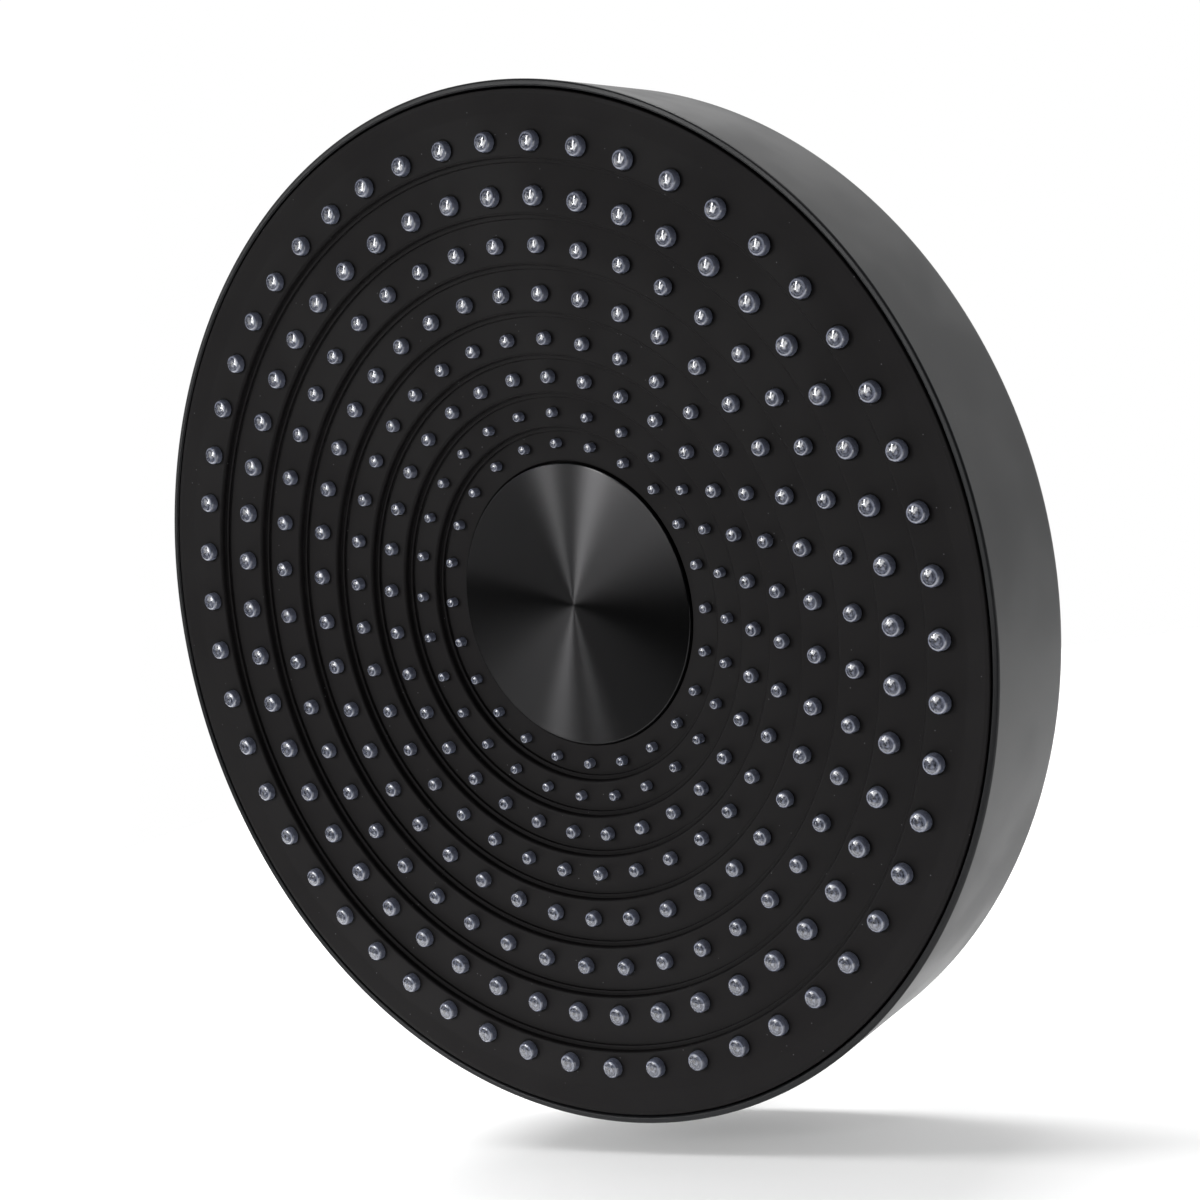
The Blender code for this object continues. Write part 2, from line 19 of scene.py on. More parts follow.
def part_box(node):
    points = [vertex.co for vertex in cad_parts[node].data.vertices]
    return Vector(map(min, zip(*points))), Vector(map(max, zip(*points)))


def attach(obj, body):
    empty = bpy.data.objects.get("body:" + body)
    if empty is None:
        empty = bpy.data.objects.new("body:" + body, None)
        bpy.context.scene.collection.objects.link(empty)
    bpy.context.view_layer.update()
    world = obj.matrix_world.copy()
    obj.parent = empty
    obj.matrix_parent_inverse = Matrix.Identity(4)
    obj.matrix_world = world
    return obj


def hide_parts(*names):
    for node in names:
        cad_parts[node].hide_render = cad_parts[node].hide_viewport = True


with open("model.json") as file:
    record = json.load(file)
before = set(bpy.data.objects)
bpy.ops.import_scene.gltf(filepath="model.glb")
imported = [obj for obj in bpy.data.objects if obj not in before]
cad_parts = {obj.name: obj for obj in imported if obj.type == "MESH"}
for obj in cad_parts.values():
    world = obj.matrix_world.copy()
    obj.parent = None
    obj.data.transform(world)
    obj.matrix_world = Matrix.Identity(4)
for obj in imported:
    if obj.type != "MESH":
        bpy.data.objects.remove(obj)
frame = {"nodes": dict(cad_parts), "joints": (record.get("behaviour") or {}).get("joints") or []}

LOG = logging.getLogger("shower_head")
Grid = np.ndarray
Material = bpy.types.Material
Node = bpy.types.Node
NodeTree = bpy.types.NodeTree
Socket = bpy.types.NodeSocket
Colour = tuple[float, float, float, float]
Point = tuple[float, float, float]


class Body(Enum):
    """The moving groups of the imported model."""

    STEM = "fixed_stem"
    LOWER = "lower_ring"
    UPPER = "upper_ring"
    HEAD = "shower_head"


class Slot(Enum):
    """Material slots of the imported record."""

    MATT = "matt_black_plastic"
    SATIN = "satin_black_plastic"
    SILICONE = "clear_grey_silicone"
    SPUN = "black_spun_metal"
    CHAMBER = "chamber_plastic"
    RUBBER = "seal_rubber"
    FOAM = "adhesive_foam"
    BRASS = "black_coated_brass"
    SEAT = "seat_plastic"
    STEEL = "screw_steel"


# ---------------------------------------------------------------- surfaces


@dataclass(frozen=True)
class Corner:
    """One corner of a turned outline: distance from the axis, height and rounding."""

    radius: float
    height: float
    fillet: float = 0.0


def rounded_outline(corners: Sequence[Corner], steps: int = 5, closed: bool = True) -> Grid:
    """Outline of straight runs and arcs. Each rounded corner is a circular arc tangent to both
    runs: centre + fillet * direction, the direction turning evenly from one tangent point to the
    other, with one more point just before and after it so that the flats shade flat.

    Args:
        corners: the corners in order.
        steps: facets in each arc.
        closed: whether the last corner joins the first.

    Returns:
        Points as (count, 2), radius and height.
    """
    count = len(corners)
    spots = np.array([(c.radius, c.height) for c in corners])
    rows = []
    for index, corner in enumerate(corners):
        inner = closed or 0 < index < count - 1
        if corner.fillet <= 0 or not inner:
            rows.append(spots[index : index + 1])
            continue
        back = spots[index - 1] - spots[index]
        ahead = spots[(index + 1) % count] - spots[index]
        room = 0.48 * min(np.linalg.norm(back), np.linalg.norm(ahead))
        back = back / np.linalg.norm(back)
        ahead = ahead / np.linalg.norm(ahead)
        half = math.acos(float(np.clip(back @ ahead, -1, 1))) / 2
        tangent = min(corner.fillet / math.tan(half), room)
        fillet = tangent * math.tan(half)
        middle = spots[index] + (back + ahead) / np.linalg.norm(back + ahead) * fillet / math.sin(half)
        start = spots[index] + back * tangent - middle
        end = spots[index] + ahead * tangent - middle
        sweep = math.pi - 2 * half
        share = np.linspace(0, 1, steps + 1)[:, None]
        arc = middle + (np.sin((1 - share) * sweep) * start + np.sin(share * sweep) * end) / math.sin(sweep)
        guard = min(0.25 * fillet, room - tangent) if room > tangent else 0.0
        if guard > 0:
            rows.append((spots[index] + back * (tangent + guard))[None])
        rows.append(arc)
        if guard > 0:
            rows.append((spots[index] + ahead * (tangent + guard))[None])
    return np.concatenate(rows)


def arc_points(radius: float, start: float, end: float, height: float, steps: int = 16) -> list[Corner]:
    """Corners on a circle about the axis point at a height, by degrees from straight up."""
    angles = np.radians(np.linspace(start, end, steps + 1))
    return [Corner(radius * math.sin(a), height + radius * math.cos(a)) for a in angles]


def grid_faces(around: int, along: int, wrap_around: bool, wrap_along: bool) -> Grid:
    """Quads of a grid numbered around * along.

    Args:
        around: points in the first direction.
        along: points in the second.
        wrap_around: whether the first direction closes on itself.
        wrap_along: whether the second does.

    Returns:
        Point numbers as (count, 4).
    """
    i = np.arange(around if wrap_around else around - 1)
    j = np.arange(along if wrap_along else along - 1)
    i, j = np.meshgrid(i, j, indexing="ij")
    right = (i + 1) % around
    above = (j + 1) % along
    quads = np.stack([i * along + j, right * along + j, right * along + above, i * along + above], -1)
    return quads.reshape(-1, 4)


@dataclass
class Surface:
    """Points and faces of one closed shape, ready for a mesh."""

    points: Grid
    faces: list[list[int]]
    uv: Grid | None = None

    def joined(self, other: "Surface") -> "Surface":
        """Both shapes in one surface.

        Args:
            other: the shape to add. Both have a surface map.

        Returns:
            The joint surface.
        """
        shift = len(self.points)
        faces = self.faces + [[index + shift for index in face] for face in other.faces]
        points = np.concatenate([self.points, other.points])
        return Surface(points, faces, np.concatenate([self.uv, other.uv]))


def turned(
    outline: Grid, segments: int, reshape: Callable[[Grid, Grid, Grid], Grid] | None = None
) -> Surface:
    """Surface of revolution: x = r cos a, y = r sin a, z = h, over the angle a and the outline's
    points (r, h). An outline that starts and ends on the axis is closed there by one pole each.

    Args:
        outline: points as (count, 2), turned to run with its outer side going up.
        segments: steps round the axis.
        reshape: gives the radius at each (angle, radius, height), for flats and threads.

    Returns:
        The closed surface.
    """
    radius, height = outline[:, 0], outline[:, 1]
    area = np.sum(radius * np.roll(height, -1) - np.roll(radius, -1) * height)
    if area < 0:
        outline = outline[::-1]
        radius, height = outline[:, 0], outline[:, 1]
    angle = np.arange(segments) * math.tau / segments
    a, r = np.meshgrid(angle, radius, indexing="ij")
    h = np.broadcast_to(height, r.shape)
    if reshape is not None:
        r = reshape(a, r, h)
    points = np.stack([r * np.cos(a), r * np.sin(a), h], -1)
    poles = radius[0] < 1e-7 and radius[-1] < 1e-7
    if not poles:
        return Surface(points.reshape(-1, 3), grid_faces(segments, len(radius), True, True).tolist())
    body = points[:, 1:-1]
    rows = body.shape[1]
    quads = grid_faces(segments, rows, True, False).tolist()
    first = segments * rows
    i = np.arange(segments)
    right = (i + 1) % segments
    start_fan = np.stack([np.full(segments, first), right * rows, i * rows], -1)
    end_fan = np.stack([i * rows + rows - 1, right * rows + rows - 1, np.full(segments, first + 1)], -1)
    ends = np.array([[0, 0, height[0]], [0, 0, height[-1]]])
    return Surface(
        np.concatenate([body.reshape(-1, 3), ends]), quads + start_fan.tolist() + end_fan.tolist()
    )


def flat_ring(
    inner: float, outer: float, bottom: float, top: float, fillets: Sequence[float] = (0, 0, 0, 0),
    segments: int = 96,
) -> Surface:
    """A flat ring about the axis.

    Args:
        inner: inner radius.
        outer: outer radius.
        bottom: lower height.
        top: upper height.
        fillets: rounding of the lower inner, lower outer, upper outer and upper inner edges.
        segments: steps round the axis.

    Returns:
        The ring.
    """
    places = ((inner, bottom), (outer, bottom), (outer, top), (inner, top))
    corners = [Corner(radius, height, fillet) for (radius, height), fillet in zip(places, fillets)]
    return turned(rounded_outline(corners), segments)


def slope_rows(first: Corner, last: Corner, rows: int = 14) -> list[Corner]:
    """Corners evenly spaced along a slope, so that a cut through it keeps its curved edge.

    Args:
        first: the slope's start.
        last: its end.
        rows: how many corners.

    Returns:
        The corners in order.
    """
    shares = np.linspace(0, 1, rows)
    radii = first.radius + (last.radius - first.radius) * shares
    heights = first.height + (last.height - first.height) * shares
    return [Corner(float(radius), float(height)) for radius, height in zip(radii, heights)]


def hexagonal(flats: float) -> Callable[[Grid, Grid, Grid], Grid]:
    """Cuts a turned shape to a hexagon: radius is the lesser of its own and half the width across
    flats over the cosine of the angle from the nearest flat's middle.

    Args:
        flats: width across flats.

    Returns:
        A function that gives the cut radius at each (angle, radius, height).
    """

    def cut(angle: Grid, radius: Grid, _height: Grid) -> Grid:
        """The cut radius at each point."""
        from_flat = np.mod(angle, math.pi / 3) - math.pi / 6
        return np.minimum(radius, flats / 2 / np.cos(from_flat))

    return cut


def make_piece(
    name: str,
    surface: Surface,
    finishes: "Finishes",
    body: Body,
    slot: Slot,
    replaces: str,
    sharp: float = 30.0,
) -> bpy.types.Object:
    """Makes the object, shades it smooth up to the sharp angle and ties it to the frame.

    Args:
        name: the piece's name.
        surface: its points and faces, in place.
        finishes: the head's materials.
        body: the CAD body that it rides on.
        slot: the record's slot that it takes its finish from.
        replaces: the CAD node that it stands for.
        sharp: angle in degrees past which an edge shades as a crease.

    Returns:
        The new object.
    """
    mesh = bpy.data.meshes.new(name)
    mesh.from_pydata(surface.points.tolist(), [], surface.faces)
    mesh.validate()
    if surface.uv is not None:
        layer = mesh.uv_layers.new(name="surface")
        corner = np.empty(len(mesh.loops), np.int32)
        mesh.loops.foreach_get("vertex_index", corner)
        layer.data.foreach_set("uv", surface.uv[corner].astype(np.float32).ravel())
    mesh.shade_smooth()
    mesh.set_sharp_from_angle(angle=math.radians(sharp))
    mesh.materials.append(finishes.by_slot[slot])
    piece = bpy.data.objects.new(name, mesh)
    bpy.context.scene.collection.objects.link(piece)
    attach(piece, body.value)
    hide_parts(replaces)
    LOG.info("%s: %d faces, rides on %s", name, len(mesh.polygons), body.value)
    return piece


# ---------------------------------------------------------------- shader graphs


class Graph:
    """Short calls for adding and joining shader nodes in one tree."""

    def __init__(self, tree: NodeTree) -> None:
        """Keeps the tree."""
        self.tree = tree

    def feed(self, socket: Socket, value: object) -> None:
        """Links an output to an input, or sets the input's own value.

        Args:
            socket: the input.
            value: an output or a plain value. None leaves the input as it is.
        """
        if isinstance(value, Socket):
            self.tree.links.new(value, socket)
        elif value is not None:
            socket.default_value = value

    def add(
        self, kind: str, inputs: dict[str | int, object] | Sequence[object] = (), **settings: object
    ) -> Node:
        """Adds a node.

        Args:
            kind: the node's type.
            inputs: what feeds its inputs, by name or number, or in order.
            settings: the node's properties.

        Returns:
            The node.
        """
        node = self.tree.nodes.new(kind)
        for name, value in settings.items():
            setattr(node, name, value)
        pairs = inputs.items() if isinstance(inputs, dict) else enumerate(inputs)
        for key, value in pairs:
            self.feed(node.inputs[key], value)
        return node

    def math(self, operation: str, *values: object) -> Socket:
        """A Math node's result."""
        return self.add("ShaderNodeMath", values, operation=operation).outputs[0]

    def plus(self, first: object, second: object) -> Socket:
        """The sum of two numbers."""
        return self.math("ADD", first, second)

    def minus(self, first: object, second: object) -> Socket:
        """The first number less the second."""
        return self.math("SUBTRACT", first, second)

    def times(self, first: object, second: object) -> Socket:
        """The product of two numbers."""
        return self.math("MULTIPLY", first, second)

    def over(self, first: object, second: object) -> Socket:
        """The first number divided by the second."""
        return self.math("DIVIDE", first, second)

    def vector(self, operation: str, *values: object) -> Node:
        """A Vector Math node."""
        return self.add("ShaderNodeVectorMath", values, operation=operation)

    def between(
        self, value: object, low: object, high: object, start: object = 0.0, end: object = 1.0
    ) -> Socket:
        """A smooth step of a value from one range to another."""
        ends = {"Value": value, "From Min": low, "From Max": high, "To Min": start, "To Max": end}
        return self.add("ShaderNodeMapRange", ends, interpolation_type="SMOOTHSTEP").outputs["Result"]

    def mix(self, share: object, first: object, second: object) -> Socket:
        """A mix of two colours."""
        inputs = {"Factor": share, 6: first, 7: second}
        return self.add("ShaderNodeMix", inputs, data_type="RGBA").outputs[2]

    def noise(self, at: Socket, scale: object, detail: float = 3.0, roughness: float = 0.5) -> Socket:
        """Noise values at a place."""
        inputs = {"Vector": at, "Scale": scale, "Detail": detail, "Roughness": roughness}
        return self.add("ShaderNodeTexNoise", inputs).outputs["Fac"]

    def place(self) -> Socket:
        """Object coordinates."""
        return self.add("ShaderNodeTexCoord").outputs["Object"]

    def split(self, at: Socket) -> Sequence[Socket]:
        """The three numbers of a vector."""
        return self.add("ShaderNodeSeparateXYZ", [at]).outputs

    def group(self, tree: NodeTree, **inputs: object) -> Node:
        """A group node with its inputs fed, spaces in their names given as underscores."""
        named = {name.replace("_", " "): value for name, value in inputs.items()}
        return self.add("ShaderNodeGroup", named, node_tree=tree)

    def bump(
        self, height: Socket, distance: float, strength: float = 1.0, normal: Socket | None = None
    ) -> Socket:
        """A Bump node's normal."""
        inputs = {"Strength": strength, "Distance": distance, "Height": height, "Normal": normal}
        return self.add("ShaderNodeBump", inputs).outputs["Normal"]


class MaterialGraph(Graph):
    """The graph of a new material, round its Principled shader."""

    def __init__(self, name: str, **plain: object) -> None:
        """Makes the material and sets its plain values.

        Args:
            name: the material's name.
            plain: the shader's plain inputs, spaces in their names given as underscores.
        """
        self.material = bpy.data.materials.new(name)
        self.material.use_nodes = True
        super().__init__(self.material.node_tree)
        self.shader = self.tree.nodes["Principled BSDF"]
        for label, value in plain.items():
            self.shader.inputs[label.replace("_", " ")].default_value = value

    def dressed(self, colour: Socket, roughness: Socket, normal: Socket) -> Material:
        """The material, with the three textured inputs fed.

        Args:
            colour: feeds Base Color.
            roughness: feeds Roughness.
            normal: feeds Normal.

        Returns:
            The material.
        """
        for label, value in {"Base Color": colour, "Roughness": roughness, "Normal": normal}.items():
            self.feed(self.shader.inputs[label], value)
        return self.material


def new_group(
    name: str, inputs: dict[str, float], outputs: Sequence[str]
) -> tuple[Graph, Sequence[Socket], Node]:
    """Starts a shader node group.

    Args:
        name: the group's name.
        inputs: number inputs and their defaults, after a first input called Vector.
        outputs: number outputs.

    Returns:
        The group's graph, its inputs in order, and its output node.
    """
    tree = bpy.data.node_groups.new(name, "ShaderNodeTree")
    tree.interface.new_socket("Vector", in_out="INPUT", socket_type="NodeSocketVector")
    for label, value in inputs.items():
        socket = tree.interface.new_socket(label, in_out="INPUT", socket_type="NodeSocketFloat")
        socket.default_value = value
    for label in outputs:
        tree.interface.new_socket(label, in_out="OUTPUT", socket_type="NodeSocketFloat")
    graph = Graph(tree)
    source = graph.add("NodeGroupInput")
    return graph, source.outputs[: 1 + len(inputs)], graph.add("NodeGroupOutput")


def mould_grain() -> NodeTree:
    """Moulded texture: fine noise and sparse pits of one size, as a height and a mask."""
    sizes = {"Size": 0.0003, "Pits": 0.3}
    graph, (at, size, depth), sink = new_group("MouldGrain", sizes, ["Height", "Mask"])
    scale = graph.over(1.0, size)
    fine = graph.noise(at, scale, 4.0, 0.6)
    broad = graph.noise(at, graph.times(scale, 0.31), 2.0)
    pits = graph.between(broad, 0.62, 0.72)
    graph.feed(sink.inputs["Height"], graph.minus(fine, graph.times(pits, depth)))
    graph.feed(sink.inputs["Mask"], pits)
    return graph.tree


def handling() -> NodeTree:
    """Traces of use: broad smears, and fine dust specks that are rare and bright."""
    sizes = {"Smear Size": 0.05, "Speck Size": 0.0012}
    graph, (at, smear_size, speck_size), sink = new_group("Handling", sizes, ["Smear", "Speck"])
    smear = graph.noise(at, graph.over(1.0, smear_size), 3.0, 0.55)
    cells = graph.add("ShaderNodeTexVoronoi", {"Vector": at, "Scale": graph.over(1.0, speck_size)})
    chosen = graph.add("ShaderNodeSeparateColor", [cells.outputs["Color"]])
    rare = graph.math("GREATER_THAN", chosen.outputs[0], 0.965)
    near = graph.between(cells.outputs["Distance"], 0.06, 0.16, 1.0, 0.0)
    graph.feed(sink.inputs["Smear"], graph.between(smear, 0.35, 0.7))
    graph.feed(sink.inputs["Speck"], graph.times(rare, near))
    return graph.tree


def turning_marks() -> NodeTree:
    """Lathe marks: fine rings about the Z axis, uneven from one to the next."""
    graph, (at, pitch), sink = new_group("TurningMarks", {"Pitch": 0.0002}, ["Height", "Mask"])
    x, y, z = graph.split(at)
    flat = graph.add("ShaderNodeCombineXYZ", [x, y]).outputs[0]
    radius = graph.vector("LENGTH", flat).outputs["Value"]
    line = graph.add("ShaderNodeCombineXYZ", [graph.over(radius, pitch), graph.over(z, pitch)]).outputs[0]
    graph.feed(sink.inputs["Height"], graph.noise(line, 1.0, 2.0, 0.7))
    graph.feed(sink.inputs["Mask"], graph.between(graph.noise(line, 0.07, 1.0), 0.35, 0.65))
    return graph.tree


def hole_rims() -> NodeTree:
    """Rim of the holes of one ring: the distance to the nearest of Count points spaced evenly on a
    circle of Ring Radius about Z, less the hole's radius, as a rim mask."""
    sizes = {"Ring Radius": 0.1, "Count": 24, "Hole Radius": 0.002, "Width": 0.0002}
    graph, (at, ring_radius, count, hole_radius, width), sink = new_group("HoleRims", sizes, ["Rim"])
    x, y, _ = graph.split(at)
    radius = graph.math("SQRT", graph.plus(graph.times(x, x), graph.times(y, y)))
    places = graph.times(graph.over(graph.math("ARCTAN2", y, x), math.tau), count)
    off = graph.minus(places, graph.math("ROUND", places))
    arc = graph.times(graph.over(graph.times(off, math.tau), count), radius)
    out = graph.minus(radius, ring_radius)
    away = graph.math("SQRT", graph.plus(graph.times(arc, arc), graph.times(out, out)))
    gap = graph.minus(away, hole_radius)
    graph.feed(sink.inputs["Rim"], graph.between(gap, 0.0, width, 1.0, 0.0))
    return graph.tree


@dataclass(frozen=True)
class Effects:
    """Shader node groups that several finishes share."""

    grain: NodeTree = field(default_factory=mould_grain)
    handling: NodeTree = field(default_factory=handling)
    turning: NodeTree = field(default_factory=turning_marks)
    hole: NodeTree = field(default_factory=hole_rims)


@dataclass(frozen=True)
class GrainedPlastic:
    """Moulded plastic with a fine grain, faint smears and a few specks of dust, and, round each nozzle
    of its hole rings, a ring of painted shade.
    """

    name: str
    colour: Colour
    lighter: Colour
    roughness: float
    grain_size: float
    grain_depth: float
    specular: float = 0.5
    dust: float = 0.5
    dust_colour: Colour = (0.22, 0.22, 0.23, 1)
    hole_rims: tuple[tuple[float, int, float], ...] = ()
    # Painted shade: a dark ring round each nozzle stands for a shadowed gap that is not modelled.
    painted_hole_shade: Colour = (0.002, 0.002, 0.002, 1)
    hole_depth: float = 0.00025

    def build(self, effects: Effects) -> Material:
        """Makes the material.

        Args:
            effects: the shared node groups.

        Returns:
            The material.
        """
        graph = MaterialGraph(self.name, Roughness=self.roughness, Specular_IOR_Level=self.specular)
        place = graph.place()
        grain = graph.group(effects.grain, Vector=place, Size=self.grain_size, Pits=0.35)
        traces = graph.group(effects.handling, Vector=place, Smear_Size=0.045, Speck_Size=0.0011)
        smear = traces.outputs["Smear"]
        body = graph.mix(smear, self.colour, self.lighter)
        body = graph.mix(graph.times(grain.outputs["Mask"], 0.35), body, self.lighter)
        body = graph.mix(graph.times(traces.outputs["Speck"], self.dust), body, self.dust_colour)
        rough = graph.between(smear, 0.0, 1.0, self.roughness - 0.04, self.roughness + 0.05)
        normal = graph.bump(grain.outputs["Height"], self.grain_depth)
        rim_shade_and_dip = None
        for ring_radius, count, hole_radius in self.hole_rims:
            ring = graph.group(
                effects.hole, Vector=place, Ring_Radius=ring_radius, Count=count, Hole_Radius=hole_radius
            )
            rim = ring.outputs["Rim"]
            rim_shade_and_dip = rim if rim_shade_and_dip is None else graph.math("MAXIMUM", rim_shade_and_dip, rim)
        # Painted shade: darkens a ring round each nozzle in the colour; the same mask also dips the surface
        # with a bump.
        if rim_shade_and_dip is not None:
            body = graph.mix(graph.times(rim_shade_and_dip, 0.6), body, self.painted_hole_shade)
            normal = graph.bump(graph.minus(1.0, rim_shade_and_dip), self.hole_depth, 1.0, normal)
        return graph.dressed(body, rough, normal)


@dataclass(frozen=True)
class ClearSilicone:
    """Translucent bluish grey silicone. Its colour holds painted light: a painted highlight ring at each
    tip's edge, a painted glow spot on each tip, the orifice painted dark, painted shade down the wall,
    and rings and mottling on the tip that are partly painted light and shade. The surface map holds
    each nozzle's own plane: distance from its middle is 0 at the orifice, 1 at the tip's edge and more
    down the wall."""

    name: str = "clear_silicone"
    # Tip colours: the rings and mottling between them follow the moulded swirl and are partly painted light
    # and shade.
    tip: Colour = (0.140, 0.155, 0.218, 1)
    tip_dark: Colour = (0.016, 0.020, 0.035, 1)
    # Painted highlight colour: the bright ring at each tip's edge and the bright spot on each tip are
    # painted in it.
    edge: Colour = (0.38, 0.40, 0.50, 1)
    # Shoulder and wall colours: the wall darkens from the shoulder towards its root as painted shade.
    shoulder: Colour = (0.165, 0.182, 0.245, 1)
    wall: Colour = (0.145, 0.158, 0.215, 1)
    # Painted shade: the orifice is a dark spot in the colour, not an open hole.
    orifice: Colour = (0.01, 0.012, 0.015, 1)
    orifice_at: Point = (-0.08, 0.06, 0.0)
    # Where on each nozzle's plane the painted glow spot sits.
    painted_glow_at: Point = (0.2, 0.16, 0.0)
    roughness: float = 0.2
    relief: float = 0.00006

    def build(self, effects: Effects) -> Material:
        """Makes the material.

        Args:
            effects: the shared node groups, none of which it needs.

        Returns:
            The material.
        """
        graph = MaterialGraph(
            self.name, Roughness=self.roughness, Specular_IOR_Level=0.55,
            Coat_Weight=1.0, Coat_IOR=1.9, Coat_Roughness=0.08,
            Subsurface_Weight=0.5, Subsurface_Scale=0.0012, Subsurface_Radius=(0.9, 1.0, 1.1),
        )
        mapped = graph.add("ShaderNodeUVMap", uv_map="surface").outputs[0]
        centred = graph.vector("SUBTRACT", mapped, (0.5, 0.5, 0.0)).outputs[0]
        local = graph.add("ShaderNodeVectorMath", {0: centred, "Scale": 4.0}, operation="SCALE").outputs[0]
        place = graph.place()
        reach = graph.vector("LENGTH", local).outputs["Value"]
        x, y, _ = graph.split(local)
        turn = graph.over(graph.math("ARCTAN2", y, x), math.tau)
        coil = graph.plus(graph.times(reach, 2.6), graph.plus(turn, graph.noise(place, 900.0, 2.0)))
        wave = graph.math("SINE", graph.times(coil, math.tau))
        mottle = graph.between(graph.noise(place, 1500.0, 3.0, 0.65), 0.38, 0.66)
        share = graph.plus(graph.times(graph.between(wave, -0.5, 0.9), 0.5), graph.times(mottle, 0.5))
        # Rings and mottling across the tip: moulded swirl, partly painted light and shade of the clear
        # silicone.
        face = graph.mix(share, self.tip_dark, self.tip)
        # Painted highlight: a bright glow spot on each tip, mixed towards the highlight colour.
        to_painted_glow = graph.vector("DISTANCE", local, self.painted_glow_at).outputs["Value"]
        face = graph.mix(graph.times(graph.between(to_painted_glow, 0.05, 0.34, 1.0, 0.0), 0.5), face, self.edge)
        # Painted shade: the orifice is darkened in the colour; the relief also dips there.
        to_hole = graph.vector("DISTANCE", local, self.orifice_at).outputs["Value"]
        hole = graph.between(to_hole, 0.07, 0.16, 1.0, 0.0)
        face = graph.mix(hole, face, self.orifice)
        # Painted highlight: a bright ring round each tip's edge, mixed towards the highlight colour.
        rim = graph.times(graph.between(reach, 0.74, 0.84), graph.between(reach, 0.88, 0.98, 1.0, 0.0))
        face = graph.mix(graph.times(rim, 0.75), face, self.edge)
        # Painted shade: the wall darkens from the shoulder down towards its root.
        lower = graph.mix(graph.between(reach, 1.0, 1.6), self.shoulder, self.wall)
        body = graph.mix(graph.between(reach, 0.92, 1.04), face, lower)
        relief = graph.minus(graph.plus(graph.times(wave, 0.5), mottle), graph.times(hole, 2.0))
        relief = graph.times(relief, graph.between(reach, 0.78, 0.92, 1.0, 0.0))
        rough = graph.between(mottle, 0.0, 1.0, 0.12, 0.3)
        return graph.dressed(body, rough, graph.bump(relief, self.relief, 0.8))


@dataclass(frozen=True)
class SpunMetal:
    """Dark metal brushed in rings, so that its highlights fan out from the middle."""

    name: str = "spun_metal"
    colour: Colour = (0.035, 0.0345, 0.0355, 1)
    darker: Colour = (0.026, 0.026, 0.0265, 1)
    dust_colour: Colour = (0.2, 0.2, 0.2, 1)
    roughness: float = 0.22
    pitch: float = 0.00016
    depth: float = 0.0000006

    def build(self, effects: Effects) -> Material:
        """Makes the material.

        Args:
            effects: the shared node groups.

        Returns:
            The material.
        """
        graph = MaterialGraph(
            self.name, Roughness=self.roughness, Metallic=1.0, Anisotropic=1.0, Anisotropic_Rotation=0.25
        )
        place = graph.place()
        marks = graph.group(effects.turning, Vector=place, Pitch=self.pitch).outputs["Height"]
        traces = graph.group(effects.handling, Vector=place, Smear_Size=0.02, Speck_Size=0.0009)
        shade = graph.mix(graph.times(marks, 0.3), self.colour, self.darker)
        shade = graph.mix(graph.times(traces.outputs["Speck"], 0.5), shade, self.dust_colour)
        rough = graph.between(marks, 0.3, 0.7, self.roughness - 0.01, self.roughness + 0.015)
        around = graph.add("ShaderNodeTangent", direction_type="RADIAL", axis="Z").outputs[0]
        graph.feed(graph.shader.inputs["Tangent"], around)
        return graph.dressed(shade, rough, graph.bump(marks, self.depth))


@dataclass(frozen=True)
class TurnedMetal:
    """Metal with lathe marks: black coated brass or plated steel."""

    name: str
    colour: Colour
    worn: Colour
    roughness: float
    metallic: float
    dust_colour: Colour = (0.3, 0.3, 0.3, 1)
    pitch: float = 0.00025
    grain_size: float = 0.00025
    depth: float = 0.000012

    def build(self, effects: Effects) -> Material:
        """Makes the material.

        Args:
            effects: the shared node groups.

        Returns:
            The material.
        """
        graph = MaterialGraph(self.name, Roughness=self.roughness, Metallic=self.metallic)
        place = graph.place()
        marks = graph.group(effects.turning, Vector=place, Pitch=self.pitch)
        grain = graph.group(effects.grain, Vector=place, Size=self.grain_size, Pits=0.2)
        traces = graph.group(effects.handling, Vector=place, Smear_Size=0.012, Speck_Size=0.0008)
        wear = graph.times(marks.outputs["Mask"], graph.times(grain.outputs["Mask"], 0.6))
        body = graph.mix(wear, self.colour, self.worn)
        body = graph.mix(graph.times(traces.outputs["Speck"], 0.4), body, self.dust_colour)
        smear = traces.outputs["Smear"]
        rough = graph.between(smear, 0.0, 1.0, self.roughness - 0.05, self.roughness + 0.07)
        relief = graph.plus(marks.outputs["Height"], graph.times(grain.outputs["Height"], 0.6))
        return graph.dressed(body, rough, graph.bump(relief, self.depth))


